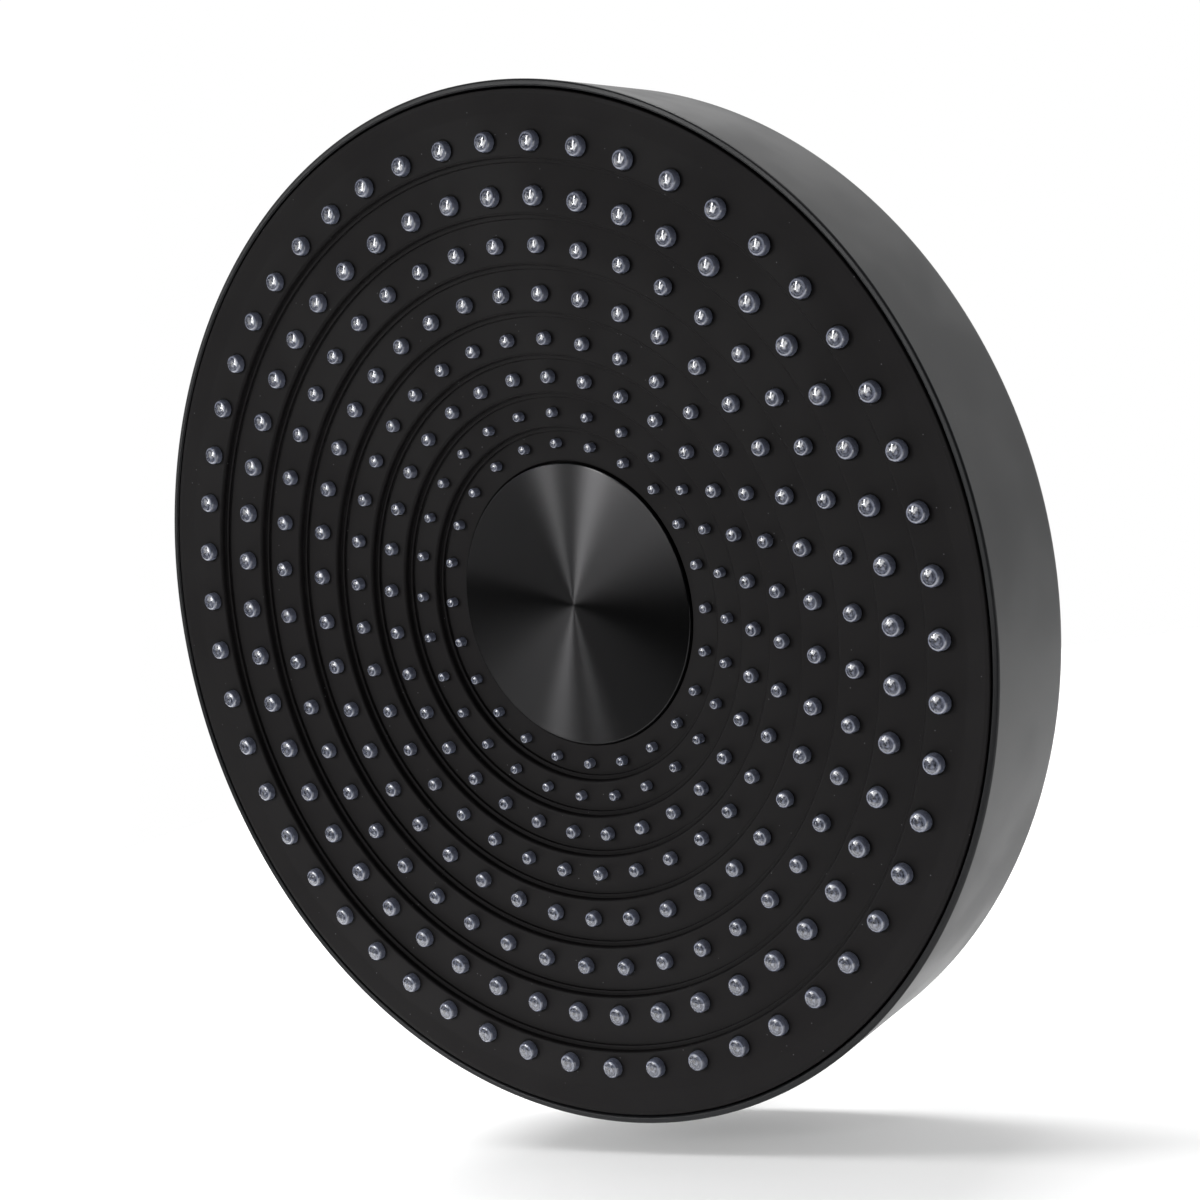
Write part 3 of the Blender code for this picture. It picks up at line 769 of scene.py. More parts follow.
@dataclass(frozen=True)
class WovenSteel:
    """Fine steel gauze: two crossed sets of wires, one over and one under by turns, with painted shade
    in the gaps between them.
    """

    name: str = "woven_steel"
    pitch: float = 0.0006
    steel: Colour = (0.42, 0.42, 0.42, 1)
    lighter: Colour = (0.6, 0.6, 0.58, 1)
    # Painted shade: the gaps between the wires are dark in the colour, not cut open.
    painted_gap_shade: Colour = (0.01, 0.01, 0.01, 1)
    depth: float = 0.00008

    def build(self, effects: Effects) -> Material:
        """Makes the material.

        Args:
            effects: the shared node groups.

        Returns:
            The material.
        """
        graph = MaterialGraph(self.name, Roughness=0.3, Metallic=1.0)
        place = graph.place()
        across = graph.split(place)
        rate = math.tau / self.pitch
        wires = [graph.math("COSINE", graph.times(across[axis], rate)) for axis in (0, 1)]
        slow = [graph.math("COSINE", graph.times(across[axis], rate / 2)) for axis in (1, 0)]
        over = [graph.plus(wires[k], graph.times(slow[k], 0.5 - k)) for k in (0, 1)]
        height = graph.math("MAXIMUM", *over)
        solid = graph.between(height, 0.0, 0.45)
        traces = graph.group(effects.handling, Vector=place, Smear_Size=0.004, Speck_Size=0.0008)
        steel = graph.mix(traces.outputs["Smear"], self.steel, self.lighter)
        # Painted shade in the gaps between the wires.
        body = graph.mix(solid, self.painted_gap_shade, steel)
        rough = graph.between(solid, 0.0, 1.0, 0.7, 0.28)
        return graph.dressed(body, rough, graph.bump(height, self.depth))


@dataclass
class Finishes:
    """Every material of the head, built once: one for each slot, and the filter's gauze."""

    effects: Effects
    hole_rims: tuple[tuple[float, int, float], ...]
    by_slot: dict[Slot, Material] = field(init=False)
    gauze: Material = field(init=False)

    def __post_init__(self) -> None:
        """Builds each finish from its sizes and colours."""
        finishes = {
            Slot.MATT: GrainedPlastic(
                "matt_plastic", (0.0062, 0.0052, 0.0056, 1), (0.0081, 0.0069, 0.0074, 1), 0.62, 0.00028,
                0.00002, specular=0.18, dust=0.6, hole_rims=self.hole_rims,
            ),
            Slot.SATIN: GrainedPlastic(
                "satin_plastic", (0.012, 0.0125, 0.0138, 1), (0.0145, 0.015, 0.0165, 1), 0.36, 0.00022,
                0.000008, specular=0.26, dust=0.25,
            ),
            Slot.CHAMBER: GrainedPlastic(
                "moulded_plastic", (0.15, 0.15, 0.16, 1), (0.18, 0.18, 0.19, 1), 0.5, 0.0004, 0.00003
            ),
            Slot.SEAT: GrainedPlastic(
                "seat_plastic", (0.72, 0.71, 0.67, 1), (0.78, 0.77, 0.73, 1), 0.38, 0.0004, 0.00001
            ),
            Slot.RUBBER: GrainedPlastic(
                "seal_rubber", (0.018, 0.018, 0.018, 1), (0.03, 0.03, 0.03, 1), 0.68, 0.0003, 0.00003
            ),
            Slot.FOAM: GrainedPlastic(
                "adhesive_foam", (0.5, 0.5, 0.48, 1), (0.6, 0.6, 0.58, 1), 0.9, 0.0008, 0.0002
            ),
            Slot.SILICONE: ClearSilicone(),
            Slot.SPUN: SpunMetal(),
            Slot.BRASS: TurnedMetal(
                "coated_brass", (0.014, 0.014, 0.0155, 1), (0.03, 0.029, 0.028, 1), 0.34, 0.0
            ),
            Slot.STEEL: TurnedMetal(
                "plated_steel", (0.55, 0.55, 0.56, 1), (0.4, 0.39, 0.37, 1), 0.3, 1.0
            ),
        }
        self.by_slot = {slot: finish.build(self.effects) for slot, finish in finishes.items()}
        self.gauze = WovenSteel().build(self.effects)


# ---------------------------------------------------------------- the head's places


@dataclass
class Places:
    """Heights and radii that the pieces share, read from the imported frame."""

    rim: float = field(init=False)
    head_radius: float = field(init=False)
    ball: float = field(init=False)

    def __post_init__(self) -> None:
        """Reads the casing's box and the joint's centre."""
        low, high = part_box("casing")
        self.rim = low.z
        self.head_radius = high.x
        self.ball = frame["joints"][0]["pos_m"][2]

    def up(self, radius: float, lift: float, fillet: float = 0.0) -> Corner:
        """A corner at a height above the rim plane."""
        return Corner(radius, self.rim + lift, fillet)


@dataclass
class NozzleField:
    """Rings of nozzles: radii grow from the disc outwards, and each band is a step deeper."""

    places: Places
    disc_radius: float = 0.0349
    disc_to_first: float = 0.0048
    rim_to_last: float = 0.0137
    spread: tuple[float, ...] = (7.7, 8.8, 9.3, 10.7, 11.4, 11.3, 12.4)
    wall_places: tuple[float, ...] = (0.51, 0.53, 0.56, 0.57, 0.58, 0.61, 0.685)
    counts: tuple[int, ...] = (24, 28, 32, 36, 40, 44, 48, 52)
    diameters: tuple[float, ...] = (0.0023, 0.0023, 0.0032, 0.0032, 0.0039, 0.0039, 0.00475, 0.00475)
    step: float = 0.00243
    outer_band_lift: float = 0.0010
    radii: Grid = field(init=False)
    walls: Grid = field(init=False)
    band_lifts: Grid = field(init=False)

    def __post_init__(self) -> None:
        """Works the rings' radii, the steps' walls and the bands' heights out."""
        first = self.disc_radius + self.disc_to_first
        last = self.places.head_radius - self.rim_to_last
        shares = np.concatenate([[0.0], np.cumsum(self.spread)]) / sum(self.spread)
        self.radii = first + (last - first) * shares
        self.walls = self.radii[:-1] + np.array(self.wall_places) * np.diff(self.radii)
        self.band_lifts = self.outer_band_lift + self.step * np.arange(len(self.counts))[::-1]

    def hole_rims(self, clearance: float = 0.00015) -> tuple[tuple[float, int, float], ...]:
        """Ring radius, count and hole radius of each ring.

        Args:
            clearance: space round each nozzle.

        Returns:
            The three numbers for each ring, innermost first.
        """
        return tuple(
            (float(radius), count, size / 2 + clearance)
            for radius, count, size in zip(self.radii, self.counts, self.diameters)
        )


# ---------------------------------------------------------------- sub-assemblies


@dataclass
class FacePlate:
    """Stepped nozzle plate. Each step is a tall wall with a rounded lip, a narrow ledge and a
    low second wall at its foot."""

    places: Places
    nozzles: NozzleField
    thickness: float = 0.0024
    back_wall: float = 0.0009
    wall_share: float = 0.68
    ledge: float = 0.0010
    lip_fillet: float = 0.0007
    foot_fillet: float = 0.00018
    edge_gap: float = 0.0021
    land: float = 0.0011
    bevel: float = 0.0046
    rim_width: float = 0.0053
    rim_lift: float = 0.0074
    rim_draft: float = 0.0007
    recess_gap: float = 0.0003
    recess_lift: float = 0.02016
    segments: int = 360

    def outline(self) -> Grid:
        """The plate's cross-section: bands, steps, border, screw rim and stepped back."""
        up = self.places.up
        lifts = self.nozzles.band_lifts
        recess = self.nozzles.disc_radius + self.recess_gap
        edge = self.places.head_radius - self.edge_gap
        corners = [up(0, self.recess_lift), up(recess, self.recess_lift), up(recess, lifts[0], 0.0003)]
        for ring, wall in enumerate(self.nozzles.walls):
            shelf = lifts[ring + 1] + self.wall_share * self.nozzles.step
            foot = wall - self.ledge
            corners += [
                up(foot, lifts[ring], self.foot_fillet),
                up(foot, shelf, self.foot_fillet),
                up(wall, shelf, self.foot_fillet),
                up(wall, lifts[ring + 1], self.lip_fillet),
            ]
        bevel_end = edge - self.land
        corners += [
            up(bevel_end - self.bevel, lifts[-1], 0.006),
            up(bevel_end, 0.0001, 0.0004),
            up(edge, 0.0001, 0.0003),
            up(edge, self.edge_gap),
            up(edge - self.rim_draft, self.rim_lift),
            up(edge - self.rim_width, self.rim_lift),
            up(edge - self.rim_width, lifts[-1] + self.thickness),
        ]
        for ring in reversed(range(1, len(lifts))):
            back = self.nozzles.walls[ring - 1] + self.back_wall
            corners += [up(back, lifts[ring] + self.thickness), up(back, lifts[ring - 1] + self.thickness)]
        centre_wall = recess + self.back_wall
        top = self.recess_lift + self.thickness
        corners += [up(centre_wall, lifts[0] + self.thickness), up(centre_wall, top), up(0, top)]
        return rounded_outline(corners, steps=4, closed=False)

    def build(self, finishes: Finishes) -> None:
        """Makes the plate in place of its CAD node."""
        surface = turned(self.outline(), self.segments)
        make_piece("nozzle_plate", surface, finishes, Body.HEAD, Slot.MATT, "face_plate", sharp=35)


@dataclass
class NozzleRings:
    """Eight silicone strips, each with its ring of round nozzles."""

    places: Places
    nozzles: NozzleField
    plate: FacePlate
    reach: float = 0.0021
    gap: float = 0.0003
    strip: float = 0.0012
    seal_room: float = 0.0038
    sides: int = 14
    reaches: tuple[float, ...] = (0.68, 0.89, 0.98, 1.0)
    drops: tuple[float, ...] = (0.0, 0.10, 0.34)
    mapped: tuple[float, ...] = (0.76, 0.95, 1.12, 2.0)
    strip_map: float = 0.98
    seed: int = 7

    def tips(self, ring: int) -> Surface:
        """All nozzles of a ring as one array: for each place on the ring, each row of the nozzle's
        outline is a circle of that row's radius about the nozzle's own axis, at that row's height.

        Args:
            ring: ring number, 0 innermost.

        Returns:
            The nozzles, with each one's own plane as its surface map.
        """
        count = self.nozzles.counts[ring]
        radius = self.nozzles.diameters[ring] / 2
        band = self.places.rim + self.nozzles.band_lifts[ring]
        tip = band - self.reach
        root = band + self.plate.thickness + self.gap + self.strip / 2
        reaches = np.array(self.reaches)
        heights = np.array([*(tip + drop * radius for drop in self.drops), root])
        mapped = np.array(self.mapped)
        rows = len(reaches)
        random = np.random.default_rng(self.seed + ring)
        turn = np.arange(count) * math.tau / count
        centre = self.nozzles.radii[ring]
        spin = random.normal(0.0, 0.25, count)
        lean = 1 - np.abs(random.normal(0.0, 0.015, count))
        angle = np.arange(self.sides) * math.tau / self.sides
        n, j, i = np.meshgrid(np.arange(count), np.arange(rows), np.arange(self.sides), indexing="ij")
        local = radius * reaches[j]
        x = centre * np.cos(turn[n]) + local * np.cos(angle[i])
        y = centre * np.sin(turn[n]) + local * np.sin(angle[i])
        z = band + (heights[j] - band) * np.where(j < rows - 1, lean[n], 1.0)
        points = np.stack([x, y, z], -1).reshape(-1, 3)
        u = 0.5 + mapped[j] * np.cos(angle[i] + spin[n]) / 4
        v = 0.5 + mapped[j] * np.sin(angle[i] + spin[n]) / 4
        uv = np.stack([u, v], -1).reshape(-1, 2)
        base = (n * rows * self.sides + j * self.sides)[:, :-1]
        here = base + i[:, :-1]
        beside = base + (i[:, :-1] + 1) % self.sides
        quads = np.stack([here, here + self.sides, beside + self.sides, beside], -1).reshape(-1, 4)
        starts = np.arange(count)[:, None] * rows * self.sides
        tips = starts + np.arange(self.sides)[None]
        roots = starts + (rows - 1) * self.sides + np.arange(self.sides)[None, ::-1]
        return Surface(points, quads.tolist() + tips.tolist() + roots.tolist(), uv)

    def band(self, ring: int) -> Surface:
        """The flat strip behind the plate that joins a ring's nozzles.

        Args:
            ring: ring number, 0 innermost.

        Returns:
            The strip, mapped to the nozzle's wall.
        """
        walls = self.nozzles.walls
        centre_wall = self.nozzles.disc_radius + self.plate.recess_gap + self.plate.back_wall
        low = self.nozzles.band_lifts[ring] + self.plate.thickness + self.gap
        inner = (centre_wall if ring == 0 else walls[ring - 1] + self.plate.back_wall) + self.gap
        last = ring == len(walls)
        rim_inner = self.places.head_radius - self.plate.edge_gap - self.plate.rim_width
        outer = rim_inner - self.seal_room if last else walls[ring] + self.plate.back_wall - self.gap
        bottom = self.places.rim + low
        surface = flat_ring(inner, outer, bottom, self.places.rim + (low + self.strip))
        surface.uv = np.full((len(surface.points), 2), self.strip_map)
        return surface

    def build(self, finishes: Finishes) -> None:
        """Makes each ring in place of its CAD node.

        Args:
            finishes: the head's materials.
        """
        for ring in range(len(self.nozzles.counts)):
            surface = self.tips(ring).joined(self.band(ring))
            name, node = f"silicone_ring_{ring + 1}", f"nozzle_ring_{ring + 1}"
            make_piece(name, surface, finishes, Body.HEAD, Slot.SILICONE, node, sharp=60)


@dataclass
class CentreDisc:
    """Round spun-metal disc with a bright turned edge."""

    places: Places
    nozzles: NozzleField
    lift: float = 0.01726
    thickness: float = 0.0015
    chamfer: float = 0.0004
    segments: int = 256

    def outline(self) -> Grid:
        """The disc's cross-section, its face in rows and its rim chamfered."""
        up = self.places.up
        radius = self.nozzles.disc_radius
        rows = [up(radius * share, self.lift) for share in np.linspace(0, 1, 12)[:-1]]
        corners = rows + [
            up(radius, self.lift, self.chamfer),
            up(radius, self.lift + self.thickness),
            up(0, self.lift + self.thickness),
        ]
        return rounded_outline(corners, steps=5, closed=False)

    def build(self, finishes: Finishes) -> None:
        """Makes the disc in place of its CAD node."""
        surface = turned(self.outline(), self.segments)
        make_piece("spun_disc", surface, finishes, Body.HEAD, Slot.SPUN, "centre_disc")


@dataclass
class Casing:
    """Outer shell with a drafted wall, a rounded back edge, a low dome and a raised collar seat."""

    places: Places
    side_height: float = 0.0315
    draft: float = 0.0024
    rounding: float = 0.0021
    rise: float = 0.0039
    thickness: float = 0.0020
    lip: float = 0.0016
    lip_fillet: float = 0.0005
    boss_radius: float = 0.0190
    boss_foot: float = 0.004
    boss_edge: float = 0.003
    boss_height: float = 0.0006
    hole_radius: float = 0.0158
    dome_radius_share: float = 0.60
    dome_rise_share: float = 0.55
    dome_rounding: float = 0.02
    segments: int = 360

    def outline(self) -> Grid:
        """The casing's cross-section, clockwise from the lip."""
        up = self.places.up
        outer = self.places.head_radius
        edge = outer - self.draft
        back = self.side_height + self.rounding
        top = back + self.rise
        flat = self.dome_radius_share * outer
        corners = [
            up(outer - self.lip, 0.0, self.lip_fillet),
            up(outer, 0.0, self.lip_fillet),
            up(edge, back, self.rounding),
            up(flat, back + self.dome_rise_share * self.rise, self.dome_rounding),
            up(self.boss_radius + self.boss_foot, top - self.boss_height, 0.0006),
            up(self.boss_radius + self.boss_edge, top, 0.0004),
            up(self.hole_radius, top, 0.0003),
            up(self.hole_radius, top - self.thickness),
            up(self.boss_radius, top - self.thickness),
            up(edge - 2 * self.rounding, back - self.thickness, self.rounding),
            up(edge - self.lip, self.side_height - self.rounding, self.rounding),
        ]
        return rounded_outline(corners, steps=8)

    def build(self, finishes: Finishes) -> None:
        """Makes the casing in place of its CAD node."""
        surface = turned(self.outline(), self.segments)
        make_piece("outer_casing", surface, finishes, Body.HEAD, Slot.SATIN, "casing")


@dataclass
class BallJoint:
    """Collar nut, seat rings, washer, and the stem with its hexagon, threaded socket and ball."""

    places: Places
    ball_radius: float = 0.0110
    seat_gap: float = 0.0003
    seat_thickness: float = 0.0015
    upper_seat: tuple[float, float] = (55.0, 78.0)
    lower_seat: tuple[float, float] = (105.0, 140.0)
    collar_flats: float = 0.0360
    collar_lip: float = 48.0
    collar_shoulder: float = 0.0035
    collar_mouth: float = 0.0016
    collar_land: float = 0.0040
    collar_bore: float = 0.0158
    ledge_height: float = 0.0023
    corner_room: float = 0.0003
    stem_flats: float = 0.026
    hex_height: float = 0.0170
    neck: float = 0.0065
    bore: float = 0.0045
    socket: float = 0.0093
    socket_depth: float = 0.0130
    chamfer: float = 0.0015
    stem_chamfer_share: float = 0.62
    thread_pitch: float = 0.001814
    thread_depth: float = 0.00105
    thread_start: float = 0.0009
    thread_rows: int = 90
    segments: int = 192

    def thread(self, angle: Grid, radius: Grid, height: Grid) -> Grid:
        """Hexagon outside, and a helical groove inside the socket: the radius grows by the groove's
        depth where the cosine of height over pitch less angle is high, fading at both ends.

        Args:
            angle: angle about the axis at each point.
            radius: distance from the axis.
            height: height.

        Returns:
            The radius with both shapes.
        """
        cut = hexagonal(self.stem_flats)(angle, radius, height)
        phase = np.cos(math.tau * height / self.thread_pitch - angle)
        groove = np.clip(0.5 + 0.9 * phase, 0, 1) * self.thread_depth
        inside = (radius < self.socket + 1e-5) & (radius > self.socket - 1e-5)
        mouth = np.clip((-height - 0.0010) / 0.0012, 0, 1)
        end = np.clip((height + self.socket_depth - 0.0006) / 0.001, 0, 1)
        return np.where(inside, cut + groove * mouth * end, cut)

    def stem(self) -> Surface:
        """Hexagonal socket, neck and ball, with the waterway through them."""
        ball = self.places.ball
        corner = self.stem_flats / math.sqrt(3) + self.corner_room
        land = self.stem_flats / 2 - self.corner_room
        drop = self.chamfer * self.stem_chamfer_share
        neck_angle = math.degrees(math.asin(self.neck / self.ball_radius))
        bore_angle = 180 - math.degrees(math.asin(self.bore / self.ball_radius))
        heights = np.linspace(-self.socket_depth, -self.thread_start, self.thread_rows)
        wall = [Corner(self.socket, z) for z in heights]
        corners = [
            Corner(self.socket + 0.0008, 0.0),
            *slope_rows(Corner(land, 0.0), Corner(corner, -drop)),
            *slope_rows(Corner(corner, drop - self.hex_height), Corner(land, -self.hex_height)),
            Corner(self.neck, -self.hex_height, 0.0004),
            *arc_points(self.ball_radius, neck_angle, bore_angle, ball, 28),
            Corner(self.bore, -self.socket_depth),
            *wall,
        ]
        return turned(rounded_outline(corners), self.segments, self.thread)

    def collar(self) -> Surface:
        """Union nut: a hexagon with turned chamfers and a conical shoulder round the ball."""
        low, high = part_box("ball_collar")
        bottom, top = low.z, high.z
        corner = self.collar_flats / math.sqrt(3) + self.corner_room
        land = self.collar_flats / 2 - self.corner_room
        shoulder = top - self.collar_shoulder
        bowl = self.ball_radius + 2 * self.seat_gap + self.seat_thickness
        mouth = bowl * math.sin(math.radians(self.collar_lip)) + self.collar_mouth
        ledge = self.places.ball + self.ledge_height
        ledge_angle = math.degrees(math.acos((ledge - self.places.ball) / bowl))
        corners = [
            Corner(self.collar_bore, bottom),
            *slope_rows(Corner(land, bottom), Corner(corner, bottom + self.chamfer)),
            *slope_rows(Corner(corner, top - self.collar_shoulder - self.chamfer), Corner(land, shoulder)),
            Corner(mouth + self.collar_land, top, 0.0008),
            Corner(mouth, top, 0.0003),
            *arc_points(bowl, self.collar_lip, ledge_angle, self.places.ball, 10),
            Corner(self.collar_bore, ledge),
        ]
        return turned(rounded_outline(corners), self.segments, hexagonal(self.collar_flats))

    def seat(self, start: float, end: float) -> Surface:
        """Part-spherical ring between two angles from straight up.

        Args:
            start: first angle, in degrees.
            end: second angle.

        Returns:
            The ring.
        """
        inner = self.ball_radius + self.seat_gap
        outer = inner + self.seat_thickness
        ball = self.places.ball
        corners = arc_points(inner, start, end, ball, 10) + arc_points(outer, end, start, ball, 10)
        return turned(rounded_outline(corners), 96)

    def washer(self) -> Surface:
        """Flat ring with rounded edges under the collar."""
        low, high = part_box("neck_washer")
        fillets = (0.0002, 0.0003, 0.0003, 0.0002)
        return flat_ring(self.collar_bore, high.x, low.z, high.z, fillets, 128)

    def build(self, finishes: Finishes) -> None:
        """Makes the joint's pieces in place of their CAD nodes.

        Args:
            finishes: the head's materials.
        """
        upper, lower = self.seat(*self.upper_seat), self.seat(*self.lower_seat)
        make_piece("union_nut", self.collar(), finishes, Body.HEAD, Slot.BRASS, "ball_collar")
        make_piece("inlet_stem", self.stem(), finishes, Body.STEM, Slot.BRASS, "ball_stem")
        make_piece("seat_above", upper, finishes, Body.UPPER, Slot.SEAT, "upper_seat")
        make_piece("seat_below", lower, finishes, Body.LOWER, Slot.SEAT, "lower_seat")
        make_piece("flat_washer", self.washer(), finishes, Body.HEAD, Slot.RUBBER, "neck_washer")


@dataclass
class InletFittings:
    """Gasket with its filter gauze, at the bottom of the socket."""

    gauze_gap: float = 0.0003
    gauze_dome: float = 0.0006
    gauze_rows: int = 9

    def gasket(self) -> Surface:
        """The gasket: a flat ring with rounded edges."""
        low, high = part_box("inlet_gasket")
        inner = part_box("filter_screen")[1].x + self.gauze_gap
        return flat_ring(inner, high.x, low.z, high.z, (0.0003, 0.0003, 0.0004, 0.0004), 128)

    def gauze(self) -> Surface:
        """The gauze, domed upwards: its height rises by dome * (1 - share squared)."""
        low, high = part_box("filter_screen")
        share = np.linspace(0, 1, self.gauze_rows)
        rise = self.gauze_dome * (1 - share**2)
        upper = np.stack([high.x * share, high.z + rise], -1)
        lower = np.stack([high.x * share, low.z + rise], -1)[::-1]
        return turned(np.concatenate([upper, lower]), 96)

    def build(self, finishes: Finishes) -> None:
        """Makes the gasket and gauze in place of their CAD nodes.

        Args:
            finishes: the head's materials.
        """
        make_piece("gasket_ring", self.gasket(), finishes, Body.STEM, Slot.RUBBER, "inlet_gasket")
        gauze = make_piece("filter_gauze", self.gauze(), finishes, Body.STEM, Slot.STEEL, "filter_screen")
        gauze.data.materials[0] = finishes.gauze


@dataclass
class HiddenPieces:
    """CAD nodes inside the head that stay as they are and take a finish."""

    slots: dict[str, Slot] = field(
        default_factory=lambda: {
            "chamber_cover": Slot.CHAMBER,
            "chamber_seal": Slot.RUBBER,
            "disc_pad": Slot.FOAM,
            "flow_restrictor": Slot.SEAT,
        }
    )

    def dress(self, finishes: Finishes) -> None:
        """Gives each carried-over node its finish.

        Args:
            finishes: the head's materials.
        """
        screws = {name: Slot.STEEL for name in frame["nodes"] if name.startswith("cover_screw_")}
        for name, slot in {**self.slots, **screws}.items():
            node = frame["nodes"][name]
            node.data.materials.clear()
            node.data.materials.append(finishes.by_slot[slot])
            LOG.info("%s: CAD node, dressed as %s", name, slot.value)


# ---------------------------------------------------------------- studio


@dataclass(frozen=True)
class Lamp:
    """A soft rectangular lamp. Its second side runs along a direction."""

    name: str
    at: Point
    sides: tuple[float, float]
    power: float
    along: Point = (0, -1, 0)
    aim: Point | None = None
    only_lights: str | None = None

    def build(self, middle: Point) -> None:
        """Makes the lamp.

        Args:
            middle: where it aims when it has no aim of its own.
        """
        data = bpy.data.lights.new(self.name, "AREA")
        data.shape = "RECTANGLE"
        data.size, data.size_y = self.sides
        data.energy = self.power
        lamp = bpy.data.objects.new(self.name, data)
        bpy.context.scene.collection.objects.link(lamp)
        back = (Vector(self.at) - Vector(self.aim or middle)).normalized()
        across = Vector(self.along).cross(back).normalized()
        turned_to = Matrix((across, back.cross(across), back)).transposed().to_4x4()
        lamp.matrix_world = Matrix.Translation(self.at) @ turned_to
        lamp.visible_camera = False
        if self.only_lights:
            lit = bpy.data.collections.new(self.only_lights + "_only")
            lit.objects.link(bpy.data.objects[self.only_lights])
            lamp.light_linking.receiver_collection = lit


BESIDE_HEAD = (0.05, 0.12, -0.04)
LAMPS = (
    Lamp("key", (-0.562, -0.077, -0.89), (0.08, 0.48), 2.3),
    Lamp("fan", (-0.388, 0.013, -0.987), (0.20, 0.50), 1.35, (0.53, -0.85, 0)),
    Lamp("haze", (-0.780, 0.160, -0.67), (0.30, 0.30), 0.42),
    Lamp("glint", (-0.589, 0.120, -0.75), (0.014, 0.100), 0.24, (-0.376, -0.926, 0)),
    Lamp("edge", (0.70, 0.100, -0.36), (0.22, 0.22), 1.5),
    Lamp("overhead", (-0.30, -1.05, 0.14), (0.24, 0.5), 6.5, (1, 0, 0), BESIDE_HEAD),
    # The head's shadow falls along the floor from this lamp, which leaves the head itself unlit.
    Lamp("floor_light", (-1.24, -0.65, -0.04), (0.8, 0.8), 20.0, (0, -1, 0), BESIDE_HEAD, "floor"),
)


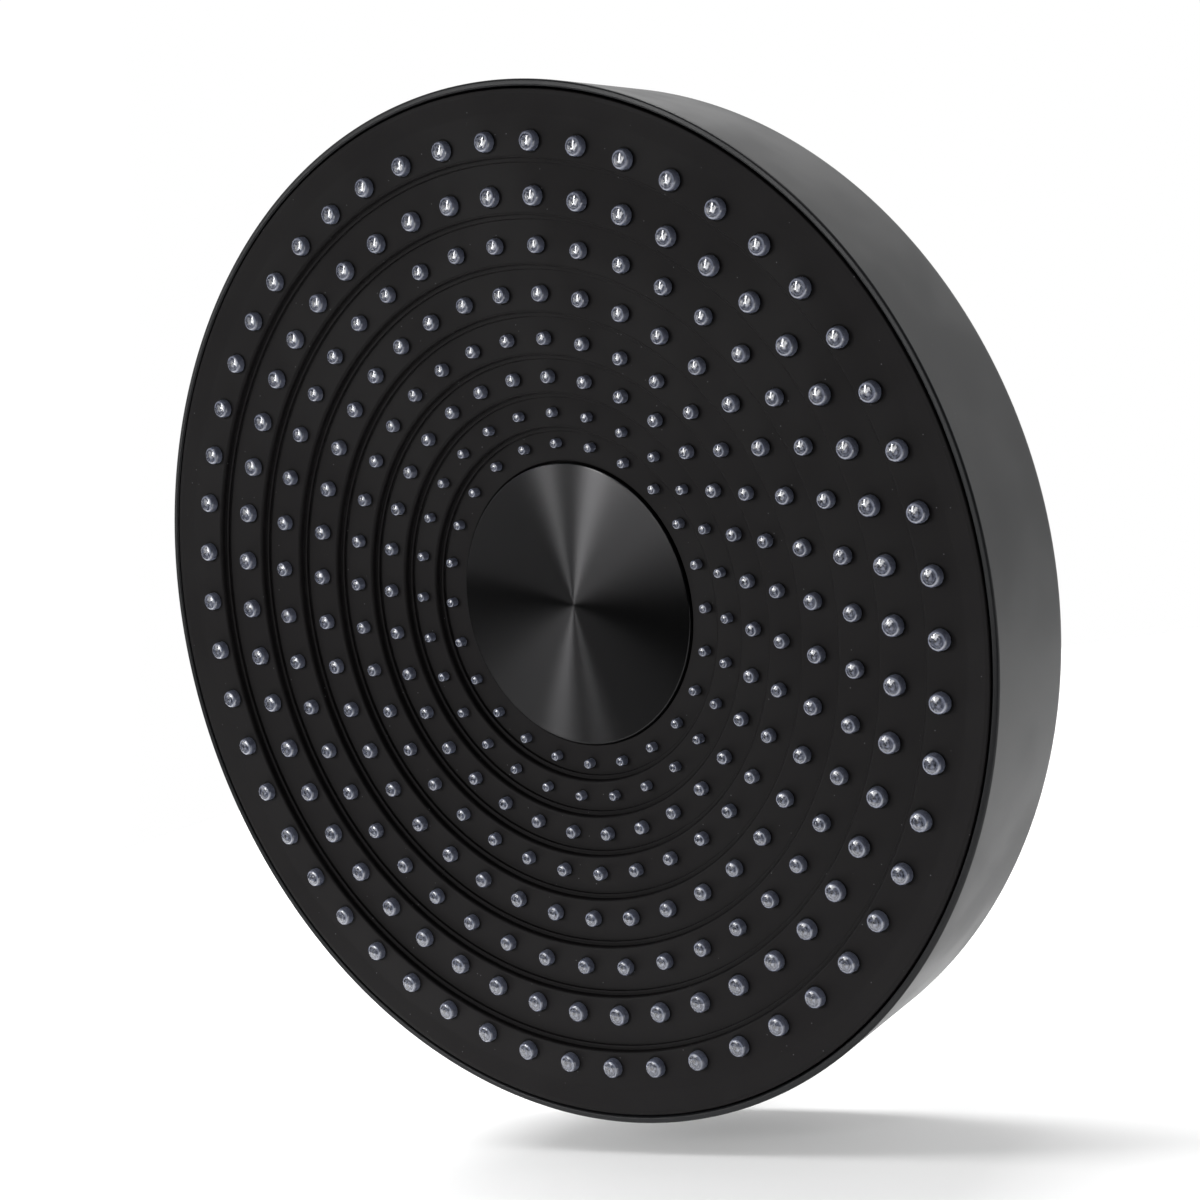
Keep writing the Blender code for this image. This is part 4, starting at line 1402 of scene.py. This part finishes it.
@dataclass
class Studio:
    """Camera, pale floor, soft lamps and world light."""

    places: Places
    camera_at: Point = (0.31097, -0.16990, -0.47671)
    camera_forward: Point = (-0.56421, 0.30965, 0.76536)
    camera_up: Point = (-0.26977, -0.94527, 0.18356)
    lens: float = 66.87
    floor_direction: float = 66.0
    floor_gap: float = 0.008
    floor_size: float = 1.6
    floor_front: float = 0.16
    floor_cells: int = 9
    floor_colours: tuple[Colour, Colour] = ((0.80, 0.80, 0.80, 1), (0.83, 0.83, 0.83, 1))
    floor_lift: float = 0.18
    room_level: float = 0.5
    room_far_side: float = 0.12
    mirrored_room: float = 0.12
    sweep_level: float = 0.8
    sweep_turn: float = 25.0

    def camera(self) -> None:
        """Camera with its own tilt, looking up at the face from the side."""
        data = bpy.data.cameras.new("camera")
        data.lens = self.lens
        data.sensor_width = 36.0
        data.clip_start = 0.01
        camera = bpy.data.objects.new("camera", data)
        bpy.context.scene.collection.objects.link(camera)
        back = -Vector(self.camera_forward).normalized()
        right = Vector(self.camera_up).cross(back).normalized()
        above = back.cross(right)
        turned_to = Matrix((right, above, back)).transposed().to_4x4()
        camera.matrix_world = Matrix.Translation(self.camera_at) @ turned_to
        bpy.context.scene.camera = camera

    def floor(self) -> None:
        """Pale flat stage beside the rim. Its front edge stops short of the disc's reflection."""
        direction = math.radians(self.floor_direction)
        outward = Vector((math.cos(direction), math.sin(direction), 0))
        middle = outward * (self.places.head_radius + self.floor_gap)
        middle.z = self.places.rim
        along = np.array((-outward.y, outward.x, 0))
        size = self.floor_size / 2
        sideways, backwards = np.meshgrid(
            np.linspace(-size, size, self.floor_cells),
            np.linspace(-self.floor_front, size, self.floor_cells),
            indexing="ij",
        )
        upward = np.array((0, 0, 1.0))
        points = np.array(middle) + sideways[..., None] * along + backwards[..., None] * upward
        faces = grid_faces(self.floor_cells, self.floor_cells, False, False)[:, ::-1]
        mesh = bpy.data.meshes.new("floor")
        mesh.from_pydata(points.reshape(-1, 3).tolist(), [], faces.tolist())
        mesh.materials.append(self.floor_finish())
        floor = bpy.data.objects.new("floor", mesh)
        bpy.context.scene.collection.objects.link(floor)

    def floor_finish(self) -> Material:
        """Matt white that keeps shadows, lifted to white where it is seen, and clear from behind."""
        made = bpy.data.materials.new("pale_floor")
        made.use_nodes = True
        graph = Graph(made.node_tree)
        graph.tree.nodes.clear()
        paper = graph.mix(graph.noise(graph.place(), 40.0, 2.0), *self.floor_colours)
        matt = graph.add("ShaderNodeBsdfDiffuse", {"Color": paper}).outputs[0]
        path = graph.add("ShaderNodeLightPath").outputs
        seen = graph.math("MAXIMUM", path["Is Camera Ray"], path["Is Glossy Ray"])
        seen = graph.math("MAXIMUM", seen, path["Is Transmission Ray"])
        lift = graph.add("ShaderNodeEmission", {"Strength": graph.times(seen, self.floor_lift)}).outputs[0]
        both = graph.add("ShaderNodeAddShader", [matt, lift]).outputs[0]
        clear = graph.add("ShaderNodeBsdfTransparent").outputs[0]
        behind = graph.add("ShaderNodeNewGeometry").outputs["Backfacing"]
        pick = graph.add("ShaderNodeMixShader", [behind, both, clear]).outputs[0]
        graph.add("ShaderNodeOutputMaterial", {"Surface": pick})
        return made

    def world(self) -> None:
        """Pale sweep behind the head and a dim room in front of it; white where it is seen."""
        made = bpy.data.worlds.new("studio")
        made.use_nodes = True
        bpy.context.scene.world = made
        graph = Graph(made.node_tree)
        graph.tree.nodes.clear()
        direction = graph.add("ShaderNodeTexCoord").outputs["Generated"]
        ahead = Vector(self.camera_forward)
        across = ahead.cross(Vector(self.camera_up))
        turn = math.radians(self.sweep_turn)
        middle = ahead * math.cos(turn) + across * math.sin(turn)
        behind = graph.vector("DOT_PRODUCT", direction, tuple(middle)).outputs["Value"]
        sweep = graph.between(behind, 0.0, 0.35)
        aside = graph.vector("DOT_PRODUCT", direction, tuple(across)).outputs["Value"]
        room = graph.between(aside, -0.7, 0.1, self.room_level, self.room_level * self.room_far_side)
        path = graph.add("ShaderNodeLightPath").outputs
        glossy = path["Is Glossy Ray"]
        room = graph.times(room, graph.between(glossy, 0.0, 1.0, 1.0, self.mirrored_room))
        white = graph.between(glossy, 0.0, 1.0, self.sweep_level, 1.0)
        lit = graph.plus(graph.times(sweep, white), room)
        seen = graph.math("MAXIMUM", path["Is Camera Ray"], path["Is Transmission Ray"])
        strength = graph.math("MAXIMUM", lit, seen)
        sky = graph.add("ShaderNodeBackground", {"Color": (1, 1, 1, 1), "Strength": strength}).outputs[0]
        graph.add("ShaderNodeOutputWorld", {"Surface": sky})

    def build(self) -> None:
        """Sets the studio up."""
        self.camera()
        self.floor()
        self.world()
        for lamp in LAMPS:
            lamp.build((0.0, 0.0, self.places.rim))
        bpy.context.scene.view_settings.view_transform = "Standard"


def main() -> None:
    """Builds every piece, dresses the carried-over nodes and sets the studio up."""
    logging.basicConfig(level=logging.INFO, format="%(name)s: %(message)s")
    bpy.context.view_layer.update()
    places = Places()
    nozzles = NozzleField(places)
    finishes = Finishes(Effects(), nozzles.hole_rims())
    plate = FacePlate(places, nozzles)
    plate.build(finishes)
    NozzleRings(places, nozzles, plate).build(finishes)
    CentreDisc(places, nozzles).build(finishes)
    Casing(places).build(finishes)
    BallJoint(places).build(finishes)
    InletFittings().build(finishes)
    HiddenPieces().dress(finishes)
    Studio(places).build()


if __name__ == "__main__":
    main()
